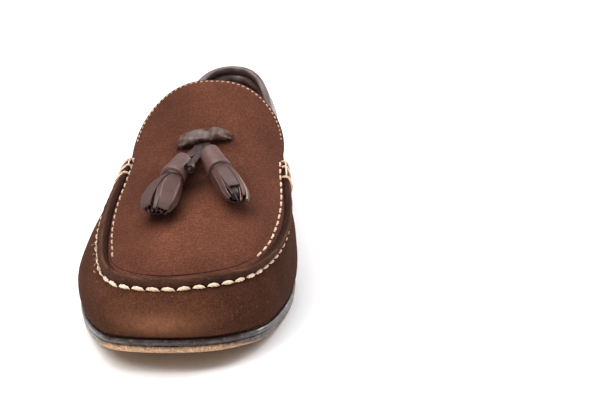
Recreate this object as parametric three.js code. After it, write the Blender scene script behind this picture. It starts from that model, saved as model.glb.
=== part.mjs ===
// Tassel loafer, the wearer's right shoe, standing empty on its own sole.
// Millimetres. X runs to the inner (medial) side, Y from toe (-) to heel (+), Z up from the floor.
// Every section is measured along the shoe from the toe tip: s = 0 at the toe, s = LENGTH at the heel.
import * as THREE from "three";

// ---- sizes
const LENGTH = 300; // sole, toe tip to heel
const SOLE_THICK = 6; // outsole at its edge
const GAP = 0.3; // clearance between pieces that meet along a curve
const WALL = 1.8; // leather of the upper
const SEAM_S = 18; // toe end of the apron seam
const TOPLINE_S = 293.5; // back of the topline
const THROAT_S = 134.5; // throat corners, where the apron seam meets the topline
const TONGUE_S = 172.5; // free edge of the tongue on the centre line
const TONGUE_POWER = 2.55; // how square the tongue's free edge is in plan
const CROWN_POWER = 2.4; // how square the apron's arch is across the shoe
const INSOLE_THICK = 3;
const HEEL_S = 222; // front face of the heel
const LIFT_THICK = 6; // rubber under the heel
const STATIONS_FRONT = 18; // sections from the toe seam to the throat corner
const STATIONS_BACK = 15; // sections from the throat corner to the heel

// ---- section tables
// outline of the outsole: s, inner side x, outer side x
const SOLE = [
  { s: 0, inner: -5, outer: -5 },
  { s: 3, inner: 12.3, outer: -22.4 },
  { s: 8, inner: 21.2, outer: -29 },
  { s: 18, inner: 29.9, outer: -35.2 },
  { s: 34, inner: 38, outer: -42.4 },
  { s: 56, inner: 43.4, outer: -50.4 },
  { s: 86, inner: 47.8, outer: -56.8 },
  { s: 115, inner: 46.5, outer: -55.6 },
  { s: 145, inner: 40, outer: -49.2 },
  { s: 175, inner: 33.6, outer: -42.6 },
  { s: 208, inner: 31.6, outer: -38.4 },
  { s: 240, inner: 33.4, outer: -36.6 },
  { s: 264, inner: 33, outer: -34.8 },
  { s: 285, inner: 25.6, outer: -26.6 },
  { s: 295.5, inner: 14, outer: -14.5 },
  { s: 300, inner: 0, outer: 0 },
];
// top of the upper's side: the apron seam as far as the throat, then the topline
const TOP = [
  { s: 18, inner: -5, outer: -5, z: 38 },
  { s: 22, inner: 12, outer: -20, z: 38.2 },
  { s: 31, inner: 26.5, outer: -29.5, z: 39 },
  { s: 45.5, inner: 34.8, outer: -34.4, z: 40.8 },
  { s: 69.5, inner: 40.8, outer: -38.2, z: 44.8 },
  { s: 92.5, inner: 42.6, outer: -39.8, z: 49.6 },
  { s: 115.5, inner: 41.6, outer: -39.6, z: 55 },
  { s: 134.5, inner: 40.6, outer: -39.8, z: 60.4 },
  { s: 160, inner: 38.6, outer: -39.6, z: 61 },
  { s: 185, inner: 35.2, outer: -36.4, z: 59.5 },
  { s: 212, inner: 31.6, outer: -33, z: 60 },
  { s: 240, inner: 28, outer: -29.6, z: 64.4 },
  { s: 262, inner: 24, outer: -25.6, z: 71.6 },
  { s: 281, inner: 17, outer: -18.6, z: 79.7 },
  { s: 290.5, inner: 8.8, outer: -9.9, z: 83 },
  { s: 293.5, inner: -0.4, outer: -0.4, z: 83.7 },
];
// the apron's arch is carried on behind the throat as the tongue
const TONGUE = [
  { s: 150, inner: 41.9, outer: -40.6, z: 68.6 },
  { s: 165, inner: 42, outer: -40.8, z: 76.4 },
  { s: 180, inner: 41.2, outer: -40.4, z: 82 },
  { s: 195, inner: 40, outer: -40, z: 86 },
];
// underside of the outsole: toe spring, tread, waist, heel seat
const UNDERSIDE = [
  { s: 0, z: 10.5 },
  { s: 12, z: 8 },
  { s: 28, z: 4.6 },
  { s: 48, z: 1.6 },
  { s: 66, z: 0.2 },
  { s: 78, z: 0 },
  { s: 106, z: 0 },
  { s: 122, z: 1 },
  { s: 145, z: 4.2 },
  { s: 170, z: 8.8 },
  { s: 195, z: 13.2 },
  { s: 222, z: 16.8 },
  { s: 250, z: 18.4 },
  { s: 275, z: 19.2 },
  { s: 300, z: 20 },
];
// height of the apron and tongue on the centre line (instep)
const CENTRE = [
  { s: 18, z: 38.4 },
  { s: 30, z: 42.6 },
  { s: 45.5, z: 46.4 },
  { s: 69.5, z: 51.8 },
  { s: 92.5, z: 58.6 },
  { s: 115.5, z: 68.2 },
  { s: 134.5, z: 78.4 },
  { s: 155.5, z: 89.4 },
  { s: 172.5, z: 96.8 },
  { s: 195, z: 103.5 },
];
// how far the side swells past the feather line, how far the feather line sits inside the sole, how upright the side stands
const SIDE = [
  { s: 0, inner: 2.6, outer: 2.6, inset: 1.3, upright: 3.8 },
  { s: 18, inner: 3, outer: 2.8, inset: 1.3, upright: 3.6 },
  { s: 50, inner: 3.4, outer: 3, inset: 1.3, upright: 3.1 },
  { s: 90, inner: 3.2, outer: 2.8, inset: 1.35, upright: 2.45 },
  { s: 125, inner: 2.8, outer: 2.4, inset: 1.4, upright: 2.05 },
  { s: 160, inner: 1.6, outer: 2.2, inset: 1.6, upright: 1.85 },
  { s: 200, inner: 1.2, outer: 2.1, inset: 1.6, upright: 1.8 },
  { s: 240, inner: 2, outer: 2.4, inset: 1.6, upright: 1.8 },
  { s: 275, inner: 3, outer: 3, inset: 1.6, upright: 1.8 },
  { s: 300, inner: 3.2, outer: 3.2, inset: 1.6, upright: 1.8 },
];
// heights up the upper's side as shares, feather line 0 to top 1
const LEVELS = [0, 0.1, 0.24, 0.4, 0.56, 0.7, 0.8, 0.88, 0.94, 1];
// edge of the outsole: out from the outline, up from the underside
const SOLE_EDGE = [
  { out: -0.9, up: 0 },
  { out: 0, up: 1 },
  { out: 0.1, up: 2.9 },
  { out: -0.5, up: 3.3 },
  { out: 0.5, up: 3.8 },
  { out: 0.6, up: 5.1 },
  { out: -0.3, up: 6 },
];

// ---- smooth curves through the tables
function natural(xs, ys) {
  const n = xs.length,
    m = new Array(n).fill(0),
    c = new Array(n).fill(0),
    d = new Array(n).fill(0);
  for (let i = 1; i < n - 1; i++) {
    const a = xs[i] - xs[i - 1],
      b = xs[i + 1] - xs[i],
      k = 2 * (a + b) - a * c[i - 1],
      r = 6 * ((ys[i + 1] - ys[i]) / b - (ys[i] - ys[i - 1]) / a);
    c[i] = b / k;
    d[i] = (r - a * d[i - 1]) / k;
  }
  for (let i = n - 2; i > 0; i--) m[i] = d[i] - c[i] * m[i + 1];
  return (x) => {
    let i = 0;
    while (i < n - 2 && x > xs[i + 1]) i++;
    const h = xs[i + 1] - xs[i],
      a = (xs[i + 1] - x) / h,
      b = (x - xs[i]) / h;
    return a * ys[i] + b * ys[i + 1] + (((a ** 3 - a) * m[i] + (b ** 3 - b) * m[i + 1]) * h * h) / 6;
  };
}
function monotone(xs, ys) {
  const n = xs.length,
    slope = xs.slice(1).map((x, i) => (ys[i + 1] - ys[i]) / (x - xs[i])),
    m = xs.map((_, i) => {
      if (i === 0) return slope[0];
      if (i === n - 1) return slope[n - 2];
      const p = slope[i - 1],
        q = slope[i],
        hp = xs[i] - xs[i - 1],
        hq = xs[i + 1] - xs[i];
      return p * q <= 0 ? 0 : (3 * (hp + hq)) / ((2 * hq + hp) / p + (hq + 2 * hp) / q);
    });
  return (x) => {
    let i = 0;
    while (i < n - 2 && x > xs[i + 1]) i++;
    const h = xs[i + 1] - xs[i],
      u = Math.min(1, Math.max(0, (x - xs[i]) / h));
    return (
      (1 + 2 * u) * (1 - u) ** 2 * ys[i] +
      u * (1 - u) ** 2 * h * m[i] +
      u * u * (3 - 2 * u) * ys[i + 1] +
      u * u * (u - 1) * h * m[i + 1]
    );
  };
}
// closed curve: knots ts in [0, 2 pi), solved as a small linear system
function periodic(ts, xs) {
  const n = ts.length,
    P = 2 * Math.PI,
    h = ts.map((t, i) => (i < n - 1 ? ts[i + 1] - t : ts[0] + P - t)),
    A = ts.map((_, i) => {
      const p = (i + n - 1) % n,
        q = (i + 1) % n,
        row = new Array(n + 1).fill(0);
      row[p] += h[p];
      row[i] += 2 * (h[p] + h[i]);
      row[q] += h[i];
      row[n] = 6 * ((xs[q] - xs[i]) / h[i] - (xs[i] - xs[p]) / h[p]);
      return row;
    });
  for (let i = 0; i < n; i++)
    for (let j = 0; j < n; j++) {
      if (j === i) continue;
      const f = A[j][i] / A[i][i];
      if (f) for (let k = i; k <= n; k++) A[j][k] -= f * A[i][k];
    }
  const m = A.map((row, i) => row[n] / row[i]);
  return (t) => {
    t = ((t % P) + P) % P;
    let i = n - 1;
    while (i > 0 && t < ts[i]) i--;
    const j = (i + 1) % n,
      b = (t - ts[i]) / h[i],
      a = 1 - b;
    return a * xs[i] + b * xs[j] + (((a ** 3 - a) * m[i] + (b ** 3 - b) * m[j]) * h[i] * h[i]) / 6;
  };
}
// angle round the shoe: 0 at the toe, pi at the heel, the inner side first
const angleOf = (s, s0, s1) => Math.acos(Math.min(1, Math.max(-1, 1 - (2 * (s - s0)) / (s1 - s0))));
const along = (t, s0, s1) => s0 + ((s1 - s0) * (1 - Math.cos(t))) / 2;
function ring(rows) {
  const s0 = rows[0].s,
    s1 = rows[rows.length - 1].s,
    back = rows.slice(1, -1).reverse();
  return periodic(
    [...rows.map((r) => angleOf(r.s, s0, s1)), ...back.map((r) => 2 * Math.PI - angleOf(r.s, s0, s1))],
    [...rows.map((r) => r.inner), ...back.map((r) => r.outer)],
  );
}
const col = (rows, key, fit = monotone) =>
  fit(
    rows.map((r) => r.s),
    rows.map((r) => r[key]),
  );
const soleX = ring(SOLE),
  topX = ring(TOP),
  topZ = col(TOP, "z"),
  under = col(UNDERSIDE, "z"),
  centreZ = col(CENTRE, "z", natural),
  inset = col(SIDE, "inset"),
  upright = col(SIDE, "upright"),
  swellInner = col(SIDE, "inner"),
  swellOuter = col(SIDE, "outer");
const ARCH = [...TOP.filter((r) => r.s <= THROAT_S), ...TONGUE];
const archZ = col(ARCH, "z", natural),
  archInner = col(ARCH.slice(3), "inner", natural),
  archOuter = col(ARCH.slice(3), "outer", natural);

// ---- the shoe's own surfaces; points are [x, s, z]
const V = (x, s, z) => new THREE.Vector3(x, s - LENGTH / 2, z);
function solePoint(t, out = 0) {
  const e = 1e-4,
    x = soleX(t),
    s = along(t, 0, LENGTH),
    dx = soleX(t + e) - soleX(t - e),
    ds = along(t + e, 0, LENGTH) - along(t - e, 0, LENGTH),
    l = Math.hypot(dx, ds);
  return { x: x + (out * ds) / l, s: s - (out * dx) / l, nx: ds / l, ns: -dx / l };
}
function swell(t, s) {
  let w = Math.min(1, Math.max(0, (Math.sin(t) / 0.35 + 1) / 2));
  w = w * w * (3 - 2 * w);
  return swellOuter(s) * (1 - w) + swellInner(s) * w;
}
// outer face of the upper's side
function side(t, v) {
  const o = solePoint(t),
    i = inset(o.s),
    fx = o.x - o.nx * i,
    fs = o.s - o.ns * i,
    tx = topX(t),
    ts = along(t, SEAM_S, TOPLINE_S),
    z0 = under(fs) + SOLE_THICK + GAP,
    z1 = topZ(ts),
    lean = v ** upright(fs),
    b = swell(t, o.s) * Math.sin(Math.PI * v ** 0.62);
  return V(fx + (tx - fx) * lean + o.nx * b, fs + (ts - fs) * lean + o.ns * b, z0 + (z1 - z0) * v);
}
// outer face of the apron and tongue, u from -1 (outer seam) to 1 (inner seam)
function archHalf(s) {
  if (s > THROAT_S) return [archOuter(s), archInner(s)];
  const t = angleOf(s, SEAM_S, TOPLINE_S);
  return [topX(2 * Math.PI - t), topX(t)];
}
function apron(u, s) {
  const [lo, hi] = archHalf(s),
    z0 = archZ(s);
  return V((lo + hi) / 2 + (u * (hi - lo)) / 2, s, z0 + (centreZ(s) - z0) * (1 - Math.abs(u) ** CROWN_POWER));
}
const tongueEdge = (u) =>
  THROAT_S + (TONGUE_S - THROAT_S) * (1 - Math.min(1, Math.abs(u)) ** TONGUE_POWER) ** (1 / TONGUE_POWER);
// a point of the apron under x, s raised by h along its normal, with the frame there
function onApron(x, s, h = 0) {
  const at = (a, b) => {
      const [lo, hi] = archHalf(b);
      return apron(Math.min(1, Math.max(-1, (a - (lo + hi) / 2) / ((hi - lo) / 2))), b);
    },
    e = 0.05,
    p = at(x, s),
    n = at(x + e, s)
      .sub(at(x - e, s))
      .cross(at(x, s + e).sub(at(x, s - e)))
      .normalize();
  return { p: p.clone().addScaledVector(n, h), n };
}
function sideNormal(t, v) {
  const e = 1e-3,
    lo = Math.max(0, v - e),
    hi = Math.min(1, v + e);
  return side(t + e, v)
    .sub(side(t - e, v))
    .cross(side(t, hi).sub(side(t, lo)))
    .normalize();
}

// ---- triangle building
class Skin {
  constructor() {
    this.v = [];
    this.f = [];
  }
  add(p) {
    this.v.push(p.clone());
    return this.v.length - 1;
  }
  tri(a, b, c) {
    if (a !== b && b !== c && a !== c) this.f.push([a, b, c]);
  }
  // the band between two rows that run the same way; shared end points and different counts are allowed
  band(A, B) {
    let i = 0,
      j = 0;
    while (i < A.length - 1 || j < B.length - 1) {
      const a = (i + 1) / (A.length - 1 || 1e-9),
        b = (j + 1) / (B.length - 1 || 1e-9);
      if (j === B.length - 1 || (i < A.length - 1 && a <= b)) {
        this.tri(A[i], A[i + 1], B[j]);
        i++;
      } else {
        this.tri(A[i], B[j + 1], B[j]);
        j++;
      }
    }
  }
  // turns every face round if the body is inside out
  outward() {
    const six = this.f.reduce((sum, [a, b, c]) => sum + this.v[a].dot(this.v[b].clone().cross(this.v[c])), 0);
    if (six < 0) this.f = this.f.map(([a, b, c]) => [a, c, b]);
    return this;
  }
  // vertex normals weighted by corner angle, lengthened at sharp seams so that the thickness holds
  normals(most = 1.35) {
    const faceN = this.f.map(([a, b, c]) =>
        new THREE.Vector3()
          .subVectors(this.v[b], this.v[a])
          .cross(new THREE.Vector3().subVectors(this.v[c], this.v[a]))
          .normalize(),
      ),
      sum = this.v.map(() => new THREE.Vector3()),
      touch = this.v.map(() => []);
    this.f.forEach((f, k) =>
      f.forEach((a, i) => {
        const p = this.v[f[(i + 1) % 3]].clone().sub(this.v[a]),
          q = this.v[f[(i + 2) % 3]].clone().sub(this.v[a]);
        sum[a].addScaledVector(faceN[k], p.angleTo(q));
        touch[a].push(faceN[k]);
      }),
    );
    return sum.map((n, i) => {
      n.normalize();
      const worst = Math.min(...touch[i].map((m) => m.dot(n)));
      return n.multiplyScalar(Math.min(most, 1 / Math.max(0.3, worst)));
    });
  }
  mesh(name, color, roughness = 0.7) {
    const g = new THREE.BufferGeometry();
    g.setAttribute("position", new THREE.Float32BufferAttribute(this.v.flatMap((p) => [p.x, p.y, p.z]), 3));
    g.setIndex(this.f.flat());
    g.computeVertexNormals();
    const m = new THREE.Mesh(g, new THREE.MeshStandardMaterial({ color, roughness }));
    m.name = name;
    return m;
  }
}
// rings of equal count joined into a closed tube; each end is closed by a fan, or for a folded section by the
// band between its outer run, points 0 to fold, and its inner run back to 0
function tube(rings, fold = 0) {
  const k = new Skin(),
    ids = rings.map((r) => r.map((p) => k.add(p))),
    n = rings[0].length;
  for (let j = 0; j < ids.length - 1; j++)
    for (let i = 0; i < n; i++) {
      const a = ids[j][i],
        b = ids[j][(i + 1) % n],
        c = ids[j + 1][(i + 1) % n],
        d = ids[j + 1][i];
      k.tri(a, b, c);
      k.tri(a, c, d);
    }
  if (fold)
    [0, ids.length - 1].forEach((j, end) => {
      const run = ids[j].slice(0, fold + 1),
        back = [ids[j][0], ...ids[j].slice(fold).reverse()];
      if (end) k.band(run, back);
      else k.band(back, run);
    });
  else
    [0, ids.length - 1].forEach((j, end) => {
      const mid = k.add(rings[j].reduce((s, p) => s.add(p), new THREE.Vector3()).divideScalar(n));
      for (let i = 0; i < n; i++) {
        const a = ids[j][i],
          b = ids[j][(i + 1) % n];
        if (end) k.tri(mid, a, b);
        else k.tri(mid, b, a);
      }
    });
  return k.outward();
}
// a slab: closed levels round the shoe from the lowest to the highest, closed across the shoe at both ends
function slab(levels) {
  const k = new Skin(),
    n = levels[0].length,
    ids = levels.map((r) => r.map((p) => k.add(p)));
  for (let j = 0; j < ids.length - 1; j++)
    for (let i = 0; i < n; i++) {
      const q = (i + 1) % n;
      k.tri(ids[j][i], ids[j][q], ids[j + 1][q]);
      k.tri(ids[j][i], ids[j + 1][q], ids[j + 1][i]);
    }
  const across = (r, up) => {
    for (let i = 0, o = n - 1; i < o; i++, o--) {
      const a = r[i],
        b = r[(i + 1) % n],
        c = r[(o - 1 + n) % n],
        d = r[o];
      if (up) {
        k.tri(a, b, c);
        k.tri(a, c, d);
      } else {
        k.tri(a, c, b);
        k.tri(a, d, c);
      }
    }
  };
  across(ids[0], false);
  across(ids[ids.length - 1], true);
  return k;
}

// ---- stations round the shoe, symmetrical about the toe and the heel
const T_THROAT = angleOf(THROAT_S, SEAM_S, TOPLINE_S);
const HALF = [
  ...Array.from({ length: STATIONS_FRONT }, (_, i) => (T_THROAT * i) / STATIONS_FRONT),
  ...Array.from({ length: STATIONS_BACK + 1 }, (_, i) => T_THROAT + ((Math.PI - T_THROAT) * i) / STATIONS_BACK),
];
const ROUND = [...HALF, ...HALF.slice(1, -1).map((t) => 2 * Math.PI - t).reverse()];
const CORNER = STATIONS_FRONT; // index of the inner throat corner
const OUTER_CORNER = ROUND.length - STATIONS_FRONT;
const root = new THREE.Group();
root.name = "tassel_loafer";

// ---- outsole: slab stations start off the centre line so that the two sides pair up
const PAIRED = Array.from({ length: 76 }, (_, i) => ((i + 0.5) / 76) * 2 * Math.PI);
const outline = (out, zOf, ts = PAIRED) =>
  ts.map((t) => {
    const p = solePoint(t, out);
    return V(p.x, p.s, zOf(p.s));
  });
root.add(
  slab(SOLE_EDGE.map((e) => outline(e.out, (s) => under(Math.min(LENGTH, Math.max(0, s))) + e.up))).mesh(
    "outsole",
    "#2a1a14",
    0.35,
  ),
);

// ---- insole and sock, resting inside the upper
const sock = (s) => under(Math.min(LENGTH, Math.max(0, s))) + SOLE_THICK + GAP;
root.add(
  slab([
    outline(-4.4, (s) => sock(s)),
    outline(-3.9, (s) => sock(s) + 0.8),
    outline(-3.9, (s) => sock(s) + INSOLE_THICK - 0.7),
    outline(-4.8, (s) => sock(s) + INSOLE_THICK),
  ]).mesh("insole", "#3a2a22"),
);

// ---- heel: leather stack and rubber top lift with a straight front face
const T_HEEL = angleOf(HEEL_S, 0, LENGTH);
const HEEL_RING = Array.from({ length: 30 }, (_, i) => T_HEEL + ((2 * Math.PI - 2 * T_HEEL) * i) / 29);
function heelLevel(out, zOf) {
  return outline(out, zOf, HEEL_RING).map((p, i, all) => {
    if (i === 0 || i === all.length - 1) p.y = HEEL_S - LENGTH / 2 + (out + 1.2) * -0.5;
    return p;
  });
}
function heelSlab(levels, name, color, roughness) {
  const k = new Skin(),
    n = levels[0].length,
    ids = levels.map((r) => r.map((p) => k.add(p)));
  for (let j = 0; j < ids.length - 1; j++)
    for (let i = 0; i < n; i++) {
      const q = (i + 1) % n;
      k.tri(ids[j][i], ids[j][q], ids[j + 1][q]);
      k.tri(ids[j][i], ids[j + 1][q], ids[j + 1][i]);
    }
  [ids[0], ids[ids.length - 1]].forEach((r, top) => {
    for (let i = 0, o = n - 1; i < o - 1; i++, o--) {
      const q = [r[i], r[i + 1], r[o - 1], r[o]];
      if (top) {
        k.tri(q[0], q[1], q[2]);
        k.tri(q[0], q[2], q[3]);
      } else {
        k.tri(q[0], q[2], q[1]);
        k.tri(q[0], q[3], q[2]);
      }
    }
  });
  root.add(k.mesh(name, color, roughness));
}
heelSlab(
  [
    heelLevel(-1.7, () => LIFT_THICK + GAP),
    heelLevel(-1.5, () => 9.5),
    heelLevel(-1.2, (s) => Math.min(13, under(Math.min(LENGTH, s)) - 2)),
    heelLevel(-0.9, (s) => under(Math.min(LENGTH, s)) - GAP),
  ],
  "heel_stack",
  "#33211a",
  0.4,
);
heelSlab(
  [heelLevel(-2.2, () => 0), heelLevel(-1.5, () => 0.8), heelLevel(-1.5, () => LIFT_THICK - 0.4), heelLevel(-1.8, () => LIFT_THICK)],
  "top_lift",
  "#1b1513",
  0.8,
);

// ---- upper: side, apron and tongue in one leather shell, open at the collar and underneath
{
  const k = new Skin(),
    levels = LEVELS.map((v) => ROUND.map((t) => k.add(side(t, v)))),
    n = ROUND.length,
    top = levels[levels.length - 1];
  for (let j = 0; j < levels.length - 1; j++)
    for (let i = 0; i < n; i++) {
      const q = (i + 1) % n;
      k.tri(levels[j][i], levels[j][q], levels[j + 1][q]);
      k.tri(levels[j][i], levels[j + 1][q], levels[j + 1][i]);
    }
  // apron rows run from the outer seam to the inner seam
  const COLUMNS = 16,
    row = (m, point) => Array.from({ length: m + 1 }, (_, i) => point((2 * i) / m - 1, i, m));
  let last = [top[0]];
  for (let j = 1; j <= CORNER; j++) {
    const m = Math.min(COLUMNS, 2 * j),
      s = along(ROUND[j], SEAM_S, TOPLINE_S),
      now = row(m, (u, i) => (i === 0 ? top[(n - j) % n] : i === m ? top[j] : k.add(apron(u, s))));
    k.band(last, now);
    last = now;
  }
  const TONGUE_ROWS = 7;
  for (let j = 1; j <= TONGUE_ROWS; j++) {
    const w = j / TONGUE_ROWS,
      now = row(COLUMNS, (u, i, m) =>
        i === 0 ? top[OUTER_CORNER] : i === m ? top[CORNER] : k.add(apron(u, THROAT_S + w * (tongueEdge(u) - THROAT_S))),
      );
    k.band(last, now);
    last = now;
  }
  // inner face, a wall's thickness in, then the two rims: feather edge and opening
  const N = k.normals(),
    size = k.v.length,
    faces = k.f.slice();
  k.v.slice().forEach((p, i) => k.add(p.clone().addScaledVector(N[i], -WALL)));
  levels[0].forEach((a) => {
    k.v[a + size].z = k.v[a].z;
  });
  faces.forEach(([a, b, c]) => k.tri(a + size, c + size, b + size));
  const rim = (loop) =>
    loop.forEach((a, i) => {
      const b = loop[(i + 1) % loop.length];
      k.tri(a, b, b + size);
      k.tri(a, b + size, a + size);
    });
  rim(levels[0].slice().reverse());
  rim([...top.slice(CORNER, OUTER_CORNER + 1), ...last.slice(1, -1)]);
  root.add(k.mesh("upper", "#5a3527", 0.95));
}

// ---- raised moccasin seam round the apron
// rows: angle round the shoe from the toe, how far below the apron's edge the bead starts and ends (inside the edge if negative)
const SEAM = [
  { t: -1.43, low: 7.6, high: -0.6 },
  { t: -1.2, low: 7.8, high: -0.4 },
  { t: -1.05, low: 7.7, high: -0.1 },
  { t: -0.9, low: 7.6, high: 0 },
  { t: -0.75, low: 7.6, high: 0.2 },
  { t: -0.6, low: 7.6, high: 0.7 },
  { t: -0.45, low: 7.9, high: 2 },
  { t: -0.3, low: 8.6, high: 3.4 },
  { t: 0, low: 8, high: 3 },
  { t: 0.3, low: 7.8, high: 3.6 },
  { t: 0.45, low: 8.4, high: 4.2 },
  { t: 0.6, low: 9.1, high: 4.8 },
  { t: 0.75, low: 9.8, high: 5.4 },
  { t: 0.9, low: 10.4, high: 5.9 },
  { t: 1.05, low: 9.8, high: 4.8 },
  { t: 1.2, low: 8.1, high: 2.2 },
  { t: 1.3, low: 7.3, high: 0.8 },
  { t: 1.43, low: 6.8, high: -0.4 },
];
const seamLow = monotone(
    SEAM.map((r) => r.t),
    SEAM.map((r) => r.low),
  ),
  seamHigh = monotone(
    SEAM.map((r) => r.t),
    SEAM.map((r) => r.high),
  );
// a point of the upper d below the apron's edge, along the side, or inside the edge where d is negative
function nearSeam(t, d, lift) {
  const edge = side(t, 1);
  if (d < 0) {
    const n = sideNormal(t, 1).setZ(0).normalize();
    return onApron(edge.x + n.x * d, edge.y + LENGTH / 2 + n.y * d, lift);
  }
  const STEP = 0.004;
  let v = 1,
    far = 0,
    last = edge;
  while (v > 0.3) {
    const next = side(t, v - STEP),
      step = next.distanceTo(last);
    if (far + step >= d) {
      v -= (STEP * (d - far)) / step;
      break;
    }
    far += step;
    v -= STEP;
    last = next;
  }
  const n = sideNormal(t, v);
  return { p: side(t, v).addScaledVector(n, lift), n };
}
{
  const HIGH = 2.7,
    sections = [],
    steps = 2 * STATIONS_FRONT,
    lift = GAP + 0.3;
  for (let i = -steps; i <= steps; i++) {
    const t = (T_THROAT * i * 0.985) / steps,
      tt = (t + 2 * Math.PI) % (2 * Math.PI),
      end = Math.min(1, (1.02 - Math.abs(i) / steps) / 0.14),
      high = HIGH * (0.45 + 0.55 * Math.sqrt(Math.max(0, end))),
      low = seamLow(t),
      top = seamHigh(t),
      foot = [0, 1 / 3, 2 / 3, 1].map((k) => nearSeam(tt, low + (top - low) * k, lift + (k > 0 && k < 1 ? 0.1 : 0))),
      A = foot[0].p,
      B = foot[3].p,
      across = B.clone().sub(A),
      width = across.length(),
      e1 = across.normalize(),
      up = foot[0].n.clone().add(foot[3].n);
    up.addScaledVector(e1, -up.dot(e1)).normalize();
    const dome = [];
    for (let d = 1; d < 8; d++) {
      const a = (Math.PI * d) / 8;
      dome.push(
        A.clone()
          .addScaledVector(e1, width * (0.5 + 0.56 * Math.cos(a)))
          .addScaledVector(up, high * Math.sin(a) ** 0.75 + 0.5),
      );
    }
    sections.push([...foot.map((q) => q.p), ...dome]);
  }
  root.add(tube(sections).mesh("apron_ridge", "#3a241c", 0.85));
}

// ---- collar binding: smooth leather folded over the topline from one throat corner round the heel to the other
{
  const START = 147, // clear of the tongue's corners
    DEPTH = 12, // height of the band on the outside
    LINING = 9, // and on the inside
    SKIN = 1.1,
    sections = [],
    t0 = angleOf(START, SEAM_S, TOPLINE_S),
    steps = 34;
  for (let i = 0; i <= steps; i++) {
    const t = t0 + ((2 * Math.PI - 2 * t0) * i) / steps,
      edge = side(t, 1),
      tall = edge.z - side(t, 0).z,
      n = (v) => sideNormal(t, v),
      flat = n(1).setZ(0).normalize(),
      put = (drop, off) => {
        const v = 1 - drop / tall;
        return side(t, v).addScaledVector(n(v), off);
      },
      top = (off, up) => edge.clone().addScaledVector(flat, off).setZ(edge.z + up),
      o = GAP + 0.15,
      inside = -WALL - GAP - 0.45;
    sections.push([
      put(DEPTH, o),
      put(DEPTH - 0.2, o + SKIN * 0.8),
      put(DEPTH * 0.6, o + SKIN),
      put(3, o + SKIN),
      top(o + SKIN * 0.75, 0.7),
      top(-WALL / 2, o + SKIN),
      top(inside - SKIN * 0.75, 0.7),
      put(3, inside - SKIN - 0.5),
      put(LINING * 0.65, inside - SKIN),
      put(LINING - 0.2, inside - SKIN * 0.8),
      put(LINING, inside),
      put(LINING * 0.5, inside),
      top(inside, o),
      top(o, o),
      put(DEPTH * 0.5, o),
    ]);
  }
  root.add(tube(sections, 10).mesh("collar_binding", "#4b3a38", 0.35));
}

// ---- a strap or cord swept along a line, with its own frame at each point: path of {p, up}, half sizes wide and thick
function sweep(path, shape) {
  return tube(
    path.map(({ p, up }, i) => {
      const fwd = path[Math.min(path.length - 1, i + 1)].p.clone().sub(path[Math.max(0, i - 1)].p).normalize(),
        w = up.clone().cross(fwd).normalize(),
        h = fwd.clone().cross(w).normalize();
      return shape(i / (path.length - 1)).map(([a, b]) => p.clone().addScaledVector(w, a).addScaledVector(h, b));
    }),
  );
}
const oval = (w, h, n, power = 2) =>
  Array.from({ length: n }, (_, i) => {
    const a = (2 * Math.PI * i) / n,
      c = Math.cos(a),
      d = Math.sin(a);
    return [w * Math.sign(c) * Math.abs(c) ** (2 / power), h * Math.sign(d) * Math.abs(d) ** (2 / power)];
  });
// a smooth line over the apron through rows of x, s and height h above it
function overApron(rows, steps) {
  const f = ["x", "s", "h"].map((key) =>
    natural(
      rows.map((r) => r.at),
      rows.map((r) => r[key]),
    ),
  );
  return Array.from({ length: steps + 1 }, (_, i) => {
    const a = rows[0].at + ((rows[rows.length - 1].at - rows[0].at) * i) / steps,
      q = onApron(f[0](a), f[1](a), f[2](a));
    return { p: q.p, up: q.n, a };
  });
}

// ---- bow: a flat strap that comes out of one slit, arches over the laces and goes down the other
const BOW = [
  { at: 0, x: -12, s: 121.8, h: 1.5, wide: 2.8, thick: 1.1 },
  { at: 3, x: -10, s: 122.2, h: 2.3, wide: 3.6, thick: 1.4 },
  { at: 8, x: -5.6, s: 123.4, h: 3.5, wide: 4.3, thick: 1.7 },
  { at: 14, x: 0.2, s: 124.8, h: 3.9, wide: 4.4, thick: 1.8 },
  { at: 20, x: 6.2, s: 126.3, h: 3.5, wide: 4.2, thick: 1.7 },
  { at: 25, x: 10.8, s: 127.6, h: 2.4, wide: 3.6, thick: 1.4 },
  { at: 28, x: 13.4, s: 128.4, h: 1.5, wide: 2.8, thick: 1.1 },
];
{
  const wide = natural(
      BOW.map((r) => r.at / 28),
      BOW.map((r) => r.wide),
    ),
    thick = natural(
      BOW.map((r) => r.at / 28),
      BOW.map((r) => r.thick),
    );
  root.add(sweep(overApron(BOW, 18), (k) => oval(wide(k), thick(k), 14, 3)).mesh("bow", "#6e5652", 0.5));
}

// ---- tassels: a rolled cap and a fringe of cut strips, lying on the apron
// path rows: distance from the top of the cap, x, s, height of the axis above the apron
const TASSELS = {
  outer: {
    path: [
      { at: 0, x: -6.1, s: 105.2, h: 6.6 },
      { at: 18, x: -9.9, s: 88.8, h: 6.8 },
      { at: 34, x: -12.7, s: 74.4, h: 6.6 },
      { at: 51, x: -13.9, s: 58.8, h: 6.2 },
    ],
    cap: 18,
    capRadii: [2.4, 3.7, 4.3, 4.9, 5.8, 6.3, 5.7],
    fringeRadii: [5.2, 6, 7.5, 8.4, 8, 6.9, 4.8, 3.6, 3.2],
    squash: 0.7,
  },
  inner: {
    path: [
      { at: 0, x: 4.7, s: 110.4, h: 6.6 },
      { at: 17.6, x: 11.5, s: 95, h: 6.8 },
      { at: 33, x: 17.6, s: 82.4, h: 6.6 },
      { at: 48, x: 22.2, s: 70, h: 6.3 },
    ],
    cap: 17.6,
    capRadii: [3, 4.5, 4.9, 5.4, 6, 6.3, 5.7],
    fringeRadii: [5.2, 5.9, 6.5, 6.6, 6.5, 6.2, 5, 3.7, 3.3],
    squash: 0.84,
  },
};
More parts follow.
